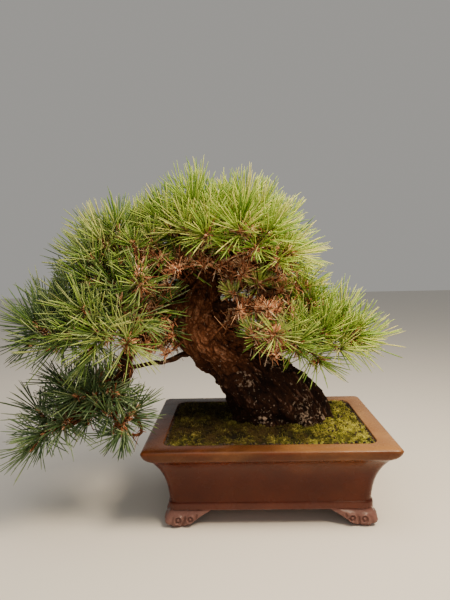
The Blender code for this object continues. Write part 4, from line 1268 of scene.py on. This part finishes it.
def make_moss_fronds(rng, material):
    """Tiny moss fronds: short tapered rods that stand up from the moss with a lean."""
    half = np.array((POT_LENGTH, POT_DEPTH)) / 2 - FROND_INSET
    flat = rng.uniform(-1, 1, (FRONDS, 2)) * half
    footprint = ((flat[:, 0] - 0.030) / 0.080) ** 2 + ((flat[:, 1] - 0.004) / 0.046) ** 2
    flat = flat[footprint > 1]
    height, relief = moss_height(flat)
    kept = relief > 0.42
    flat, height, relief = flat[kept], height[kept], relief[kept]
    fresh_and_painted_light, dry_and_painted_shadow = moss_tone(flat)
    lean = rng.normal(0, 0.5, (len(flat), 2))
    heading = unit(np.column_stack((lean, np.ones(len(flat)))))
    length = rng.uniform(*FROND_LENGTHS, len(flat))
    foot = np.column_stack((flat, height - 0.0006))
    paths = np.stack((foot, foot + heading * length[:, None]), 1)
    values = {
        # Each frond darker at its foot: painted shade
        "relief": np.stack((relief * 0.7, relief + rng.uniform(0.1, 0.5, len(flat))), 1),
        "fresh_and_painted_light": np.clip(fresh_and_painted_light + rng.normal(0, 0.12, len(flat)), 0, 1),
        "dry_and_painted_shadow": dry_and_painted_shadow * 0.7,
    }
    make_rods("moss_fronds", paths, FROND_RADII, 3, material, values)


def make_grains(rng, material):
    """Soil grains along the moss's edge and strewn on it: lumps of six-sided rings."""
    ring = rounded_ring(POT_LENGTH / 2 - 0.0278, POT_DEPTH / 2 - 0.0278, 0.013, 8, 60, 44)
    edge = ring[rng.integers(0, len(ring), EDGE_GRAINS)]
    edge = edge + rng.normal(0, 0.0016, edge.shape)
    strewn = [rng.uniform(*reach, STREWN_GRAINS) for reach in zip(*STREWN_PLACES)]
    half = np.array((POT_LENGTH, POT_DEPTH)) / 2 - 0.0270
    flat = np.clip(np.vstack((edge, np.column_stack(strewn))), -half, half)
    count = len(flat)
    size = rng.uniform(*GRAIN_RADII, count)
    height, _ = moss_height(flat)
    middle = np.column_stack((flat, height + size * 0.35))
    axis = unit(rng.normal(0, 1, (count, 3)))
    t = np.array((-1.0, -0.55, 0.45, 1.0))[None, :, None]
    paths = middle[:, None] + axis[:, None] * t * size[:, None, None]
    radii = np.array((0.35, 0.95, 0.9, 0.3)) * size[:, None] * rng.uniform(0.8, 1.2, (count, 4))
    make_rods("soil_grains", paths, radii, 6, material, smooth=False)


# Pot


def pot_shell():
    """The pot's wall: its profile, smoothed, carried round a rounded rectangle."""
    outside = smooth_path(POT_OUTSIDE, 6 * (len(POT_OUTSIDE) - 1))
    inside = smooth_path(POT_INSIDE, 4 * (len(POT_INSIDE) - 1))
    corner_out = np.interp(outside[:, 1], *np.array(CORNER_RADII).T)
    profile = np.vstack((outside, inside))
    corners = np.concatenate((corner_out, np.full(len(inside), INSIDE_CORNER)))
    rings = []
    for (inset, z), corner in zip(profile, corners):
        ring = rounded_ring(POT_LENGTH / 2 - inset, POT_DEPTH / 2 - inset, corner, 8, 44, 32)
        rings.append(np.column_stack((ring, np.full(len(ring), z))))
    return np.array(rings)


def clay_tones(points):
    """Tan bloom, strong on the rim's top and the cove to the right as painted light, painted shade on the
    rim's left, and painted pinkish light on the feet and the band.
    """
    streak = layered_noise(points * (0.35, 0.35, 1.0), 0.016, 110)
    top = smoothstep(0.1150, 0.1166, points[:, 2])
    rim = smoothstep(0.100, 0.106, points[:, 2])
    right = smoothstep(-0.12, 0.16, points[:, 0] + 0.2 * points[:, 1])
    low = smoothstep(0.036, 0.030, points[:, 2])
    cove = smoothstep(0.070, 0.098, points[:, 2]) * right
    # Painted light: the bloom grows towards the right, on the rim's top and the cove
    bloom_and_painted_light = top * (0.02 + 0.76 * right) + rim * (0.20 * right + (0.45 + 0.45 * right) * (streak - 0.42))
    bloom_and_painted_light = bloom_and_painted_light + 0.10 * rim + 0.18 * cove * (1 - rim)
    blotch = layered_noise(points * (0.5, 0.5, 1.0), 0.012, 117)
    # Painted shade: dark on the rim's left, away from the light
    left_rim_painted_shade = rim * (1 - right) ** 1.5 * (0.12 + 0.45 * top + 0.9 * (blotch - 0.40))
    return {
        "bloom_and_painted_light": np.clip(bloom_and_painted_light + 0.08 * (streak - 0.5), 0, 1),
        "left_rim_painted_shade": np.clip(left_rim_painted_shade, 0, 0.75),
        # Painted pinkish light on the feet and the band
        "painted_pink_light": 0.32 * smoothstep(0.026, 0.020, points[:, 2]) + 0.08 * low,
    }


def foot_relief(distance, height, low):
    """How far a foot's face stands out, from the distance to its outer end and the height.

    It swells from flush under the pot's edge to a round toe at its outer end, and carries two
    scroll eyes, each a raised dot in a groove in a raised ring, with creases between them.
    """
    down = np.clip((FOOT_TOP - height) / (FOOT_TOP - low), 0, 1)
    relief = -0.0050 + 0.0050 * smoothstep(0.0, 0.40, down) - 0.0034 * smoothstep(0.74, 1.0, down) ** 2
    toe = np.exp(-(((distance - 0.002) / 0.0085) ** 2)) * np.exp(-(((down - 0.66) / 0.27) ** 2))
    relief = relief + 0.0045 * toe
    for x, z, radius in FOOT_EYES:
        away = np.hypot(distance - x, height - z)
        relief = relief + 0.0024 * np.exp(-((away / (radius * 0.50)) ** 2))
        relief = relief - 0.0016 * np.exp(-(((away - radius * 0.95) / (radius * 0.26)) ** 2))
        relief = relief + 0.0020 * np.exp(-(((away - radius * 1.50) / (radius * 0.36)) ** 2))
    for crease in FOOT_CREASES:
        gap = distance - crease - 0.25 * (height - 0.012)
        relief = relief - 0.0022 * np.exp(-((gap / 0.0016) ** 2)) * smoothstep(0.25, 0.5, down)
    fade = smoothstep(0.056, 0.040, distance)
    return relief * fade - 0.0040 * (1 - fade)


def foot_rings(sx, sy):
    """One corner foot: upright sections carried from one wing's end round to the other's.

    A station on a wing lies at its distance from the foot's outer end; round the corner it
    follows a quarter circle, and the section's inner face follows a tighter one.
    """
    end_x = POT_LENGTH / 2 - POT_OUTSIDE[0][0] + FOOT_OVERHANG
    end_y = POT_DEPTH / 2 - POT_OUTSIDE[0][0] + FOOT_OVERHANG
    wing = FOOT_UNDERSIDE[-1][0]
    gone = np.linspace(1, 0, 72)[:-1]
    turn = np.radians(np.linspace(0, 90, 15))
    straight = FOOT_CORNER + (wing - FOOT_CORNER) * gone
    arc = FOOT_CORNER * (1 - np.where(turn < math.pi / 4, np.sin(turn), np.cos(turn)))
    distance = np.concatenate((straight, arc, straight[::-1]))
    normal = np.stack((np.sin(turn), np.cos(turn)), 1)
    steps = len(gone)

    def outline(inset, corner):
        run = corner + inset + (wing - corner - inset) * gone
        first = np.column_stack((end_x - run, np.full(len(run), end_y - inset)))
        middle = (end_x - inset - corner, end_y - inset - corner) + corner * normal
        second = np.column_stack((np.full(len(run), end_x - inset), end_y - run))[::-1]
        return np.vstack((first, middle, second))

    outer, inner = outline(0.0, FOOT_CORNER), outline(FOOT_THICKNESS, 0.001)
    out = np.vstack((np.tile((0.0, 1.0), (steps, 1)), normal, np.tile((1.0, 0.0), (steps, 1))))
    ends, heights = np.array(FOOT_UNDERSIDE).T
    low = np.interp(distance, ends, heights)[:, None]
    height = low + (FOOT_TOP - low) * np.linspace(1, 0, 30)[None]
    stand = foot_relief(distance[:, None], height, low)
    face = outer[:, None] + out[:, None] * stand[..., None]
    inner_height = low + (FOOT_TOP - low) * np.linspace(0.03, 1, 4)[None]
    back = np.broadcast_to(inner[:, None], (len(inner), 4, 2))
    flat = np.concatenate((face, back), 1) * (sx, sy)
    points = np.concatenate((flat, np.concatenate((height, inner_height), 1)[..., None]), -1)
    return points[:, ::-1] if sx * sy > 0 else points


def drill_holes(piece):
    """Cuts the two drain holes out of the pot's floor."""
    for x in (-DRAIN_OFFSET, DRAIN_OFFSET):
        ring = rounded_ring(DRAIN_RADIUS, DRAIN_RADIUS, DRAIN_RADIUS * 0.999, 8, 1, 1)
        rings = [np.column_stack((ring + (x, 0.0), np.full(len(ring), z))) for z in (0.010, 0.050)]
        mesh = bpy.data.meshes.new("drill")
        faces = [face.tolist() for part in grid_faces(2, len(ring)) for face in part]
        mesh.from_pydata((np.vstack(rings) + POT_MIDDLE).tolist(), [], faces)
        drill = bpy.data.objects.new("drill", mesh)
        bpy.context.scene.collection.objects.link(drill)
        cut = piece.modifiers.new("drain_hole", "BOOLEAN")
        cut.operation, cut.solver, cut.object = "DIFFERENCE", "EXACT", drill
        bpy.context.view_layer.update()
        graph = bpy.context.evaluated_depsgraph_get()
        piece.data = bpy.data.meshes.new_from_object(piece.evaluated_get(graph))
        piece.modifiers.clear()
        bpy.data.objects.remove(drill)


def add_tones(piece):
    """Stores the clay's tones on a piece's points."""
    places = np.empty(len(piece.data.vertices) * 3, np.float32)
    piece.data.vertices.foreach_get("co", places)
    store_values(piece.data, clay_tones(places.reshape(-1, 3) - POT_MIDDLE))


def make_pot(material):
    """The pot with its two drain holes, and its four cloud feet."""
    rings = pot_shell()
    faces = grid_faces(*rings.shape[:2])
    bowl = make_piece("stoneware_pot", rings, faces, material, ("pot",))
    drill_holes(bowl)
    parts = [foot_rings(sx, sy) for sx in (-1, 1) for sy in (-1, 1)]
    points, faces, _ = stack_parts([(part, grid_faces(*part.shape[:2]), {}) for part in parts])
    feet = make_piece("cloud_feet", points, faces, material)
    for piece in (bowl, feet):
        add_tones(piece)


# Camera, light and floor


def make_camera():
    """The camera at the photograph's place, turned as it was."""
    yaw, pitch, roll = (math.radians(turn) for turn in CAMERA_TURNS)
    ahead = math.cos(pitch)
    forward = Vector((-math.sin(yaw) * ahead, math.cos(yaw) * ahead, -math.sin(pitch)))
    level = Vector((math.cos(yaw), math.sin(yaw), 0.0))
    upright = level.cross(forward)
    right = level * math.cos(roll) + upright * math.sin(roll)
    up = upright * math.cos(roll) - level * math.sin(roll)
    camera = bpy.data.objects.new("camera", bpy.data.cameras.new("camera"))
    camera.data.lens = CAMERA_LENS
    camera.data.sensor_width = CAMERA_SENSOR
    place = Vector(CAMERA_PLACE) + Vector(POT_MIDDLE)
    axes = Matrix((right, up, -forward)).transposed().to_4x4()
    camera.matrix_world = Matrix.Translation(place) @ axes
    bpy.context.scene.collection.objects.link(camera)
    bpy.context.scene.camera = camera


def add_light(name, place, target, size, power, code):
    """A square soft light that faces its target."""
    lamp = bpy.data.lights.new(name, "AREA")
    lamp.size = size
    lamp.energy = power
    lamp.color = linear(code)[:3]
    light = bpy.data.objects.new(name, lamp)
    light.location = Vector(place) + Vector(POT_MIDDLE)
    light.rotation_euler = (Vector(target) - Vector(place)).to_track_quat("-Z", "Y").to_euler()
    bpy.context.scene.collection.objects.link(light)


def make_studio():
    """Pale floor, pale surroundings and three soft lights, the strongest high on the right."""
    floor = bpy.data.objects.new("floor", bpy.data.meshes.new("floor"))
    corners = [(-4, -4, 0), (4, -4, 0), (4, 4, 0), (-4, 4, 0)]
    floor.data.from_pydata(corners, [], [(0, 1, 2, 3)])
    floor.data.materials.append(floor_material())
    bpy.context.scene.collection.objects.link(floor)
    world = bpy.data.worlds.new("pale_room")
    world.use_nodes = True
    backing = world.node_tree.nodes["Background"]
    backing.inputs["Color"].default_value = linear("EDEAE4")
    backing.inputs["Strength"].default_value = ROOM_LIGHT
    bpy.context.scene.world = world
    for light in LIGHTS:
        add_light(*light)


def main():
    make_camera()
    make_studio()
    rng = np.random.default_rng(SEED)
    shoots, twigs, old_twigs = all_shoots()
    needle, sheath = needle_material(), sheath_material()
    for pad, pad_shoots in shoots.items():
        make_needles(pad, pad_shoots, rng, needle, sheath)
    make_buds(shoots, rng, sheath)
    make_dry_bits("dry_sheaths", twigs, 26, (1.5, 7.4), (1.0, 0.3), rng, sheath)
    make_dry_bits("undergrowth", old_twigs, 56, (3.4, 7.4), (1.0, 0.4), rng, sheath)
    make_dry_bits("dry_hearts", dry_hearts(shoots, twigs), 1, (7.5, 7.99), (1.9, 0.0), rng, sheath)
    bark = bark_material()
    make_trunk(bark)
    make_limbs(bark)
    make_twigs(np.concatenate((twigs, old_twigs)), twig_material())
    moss = moss_material()
    make_moss(moss)
    make_moss_fronds(rng, moss)
    clay_grain = grain_material()
    make_grains(rng, clay_grain)
    make_pot(stoneware_material())
    finishes = {"soil": clay_grain, "drain_screen_left": plastic_material()}
    finishes["drain_screen_right"] = finishes["drain_screen_left"]
    for node, material in finishes.items():
        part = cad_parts[node]
        part.data.materials.clear()
        part.data.materials.append(material)


main()
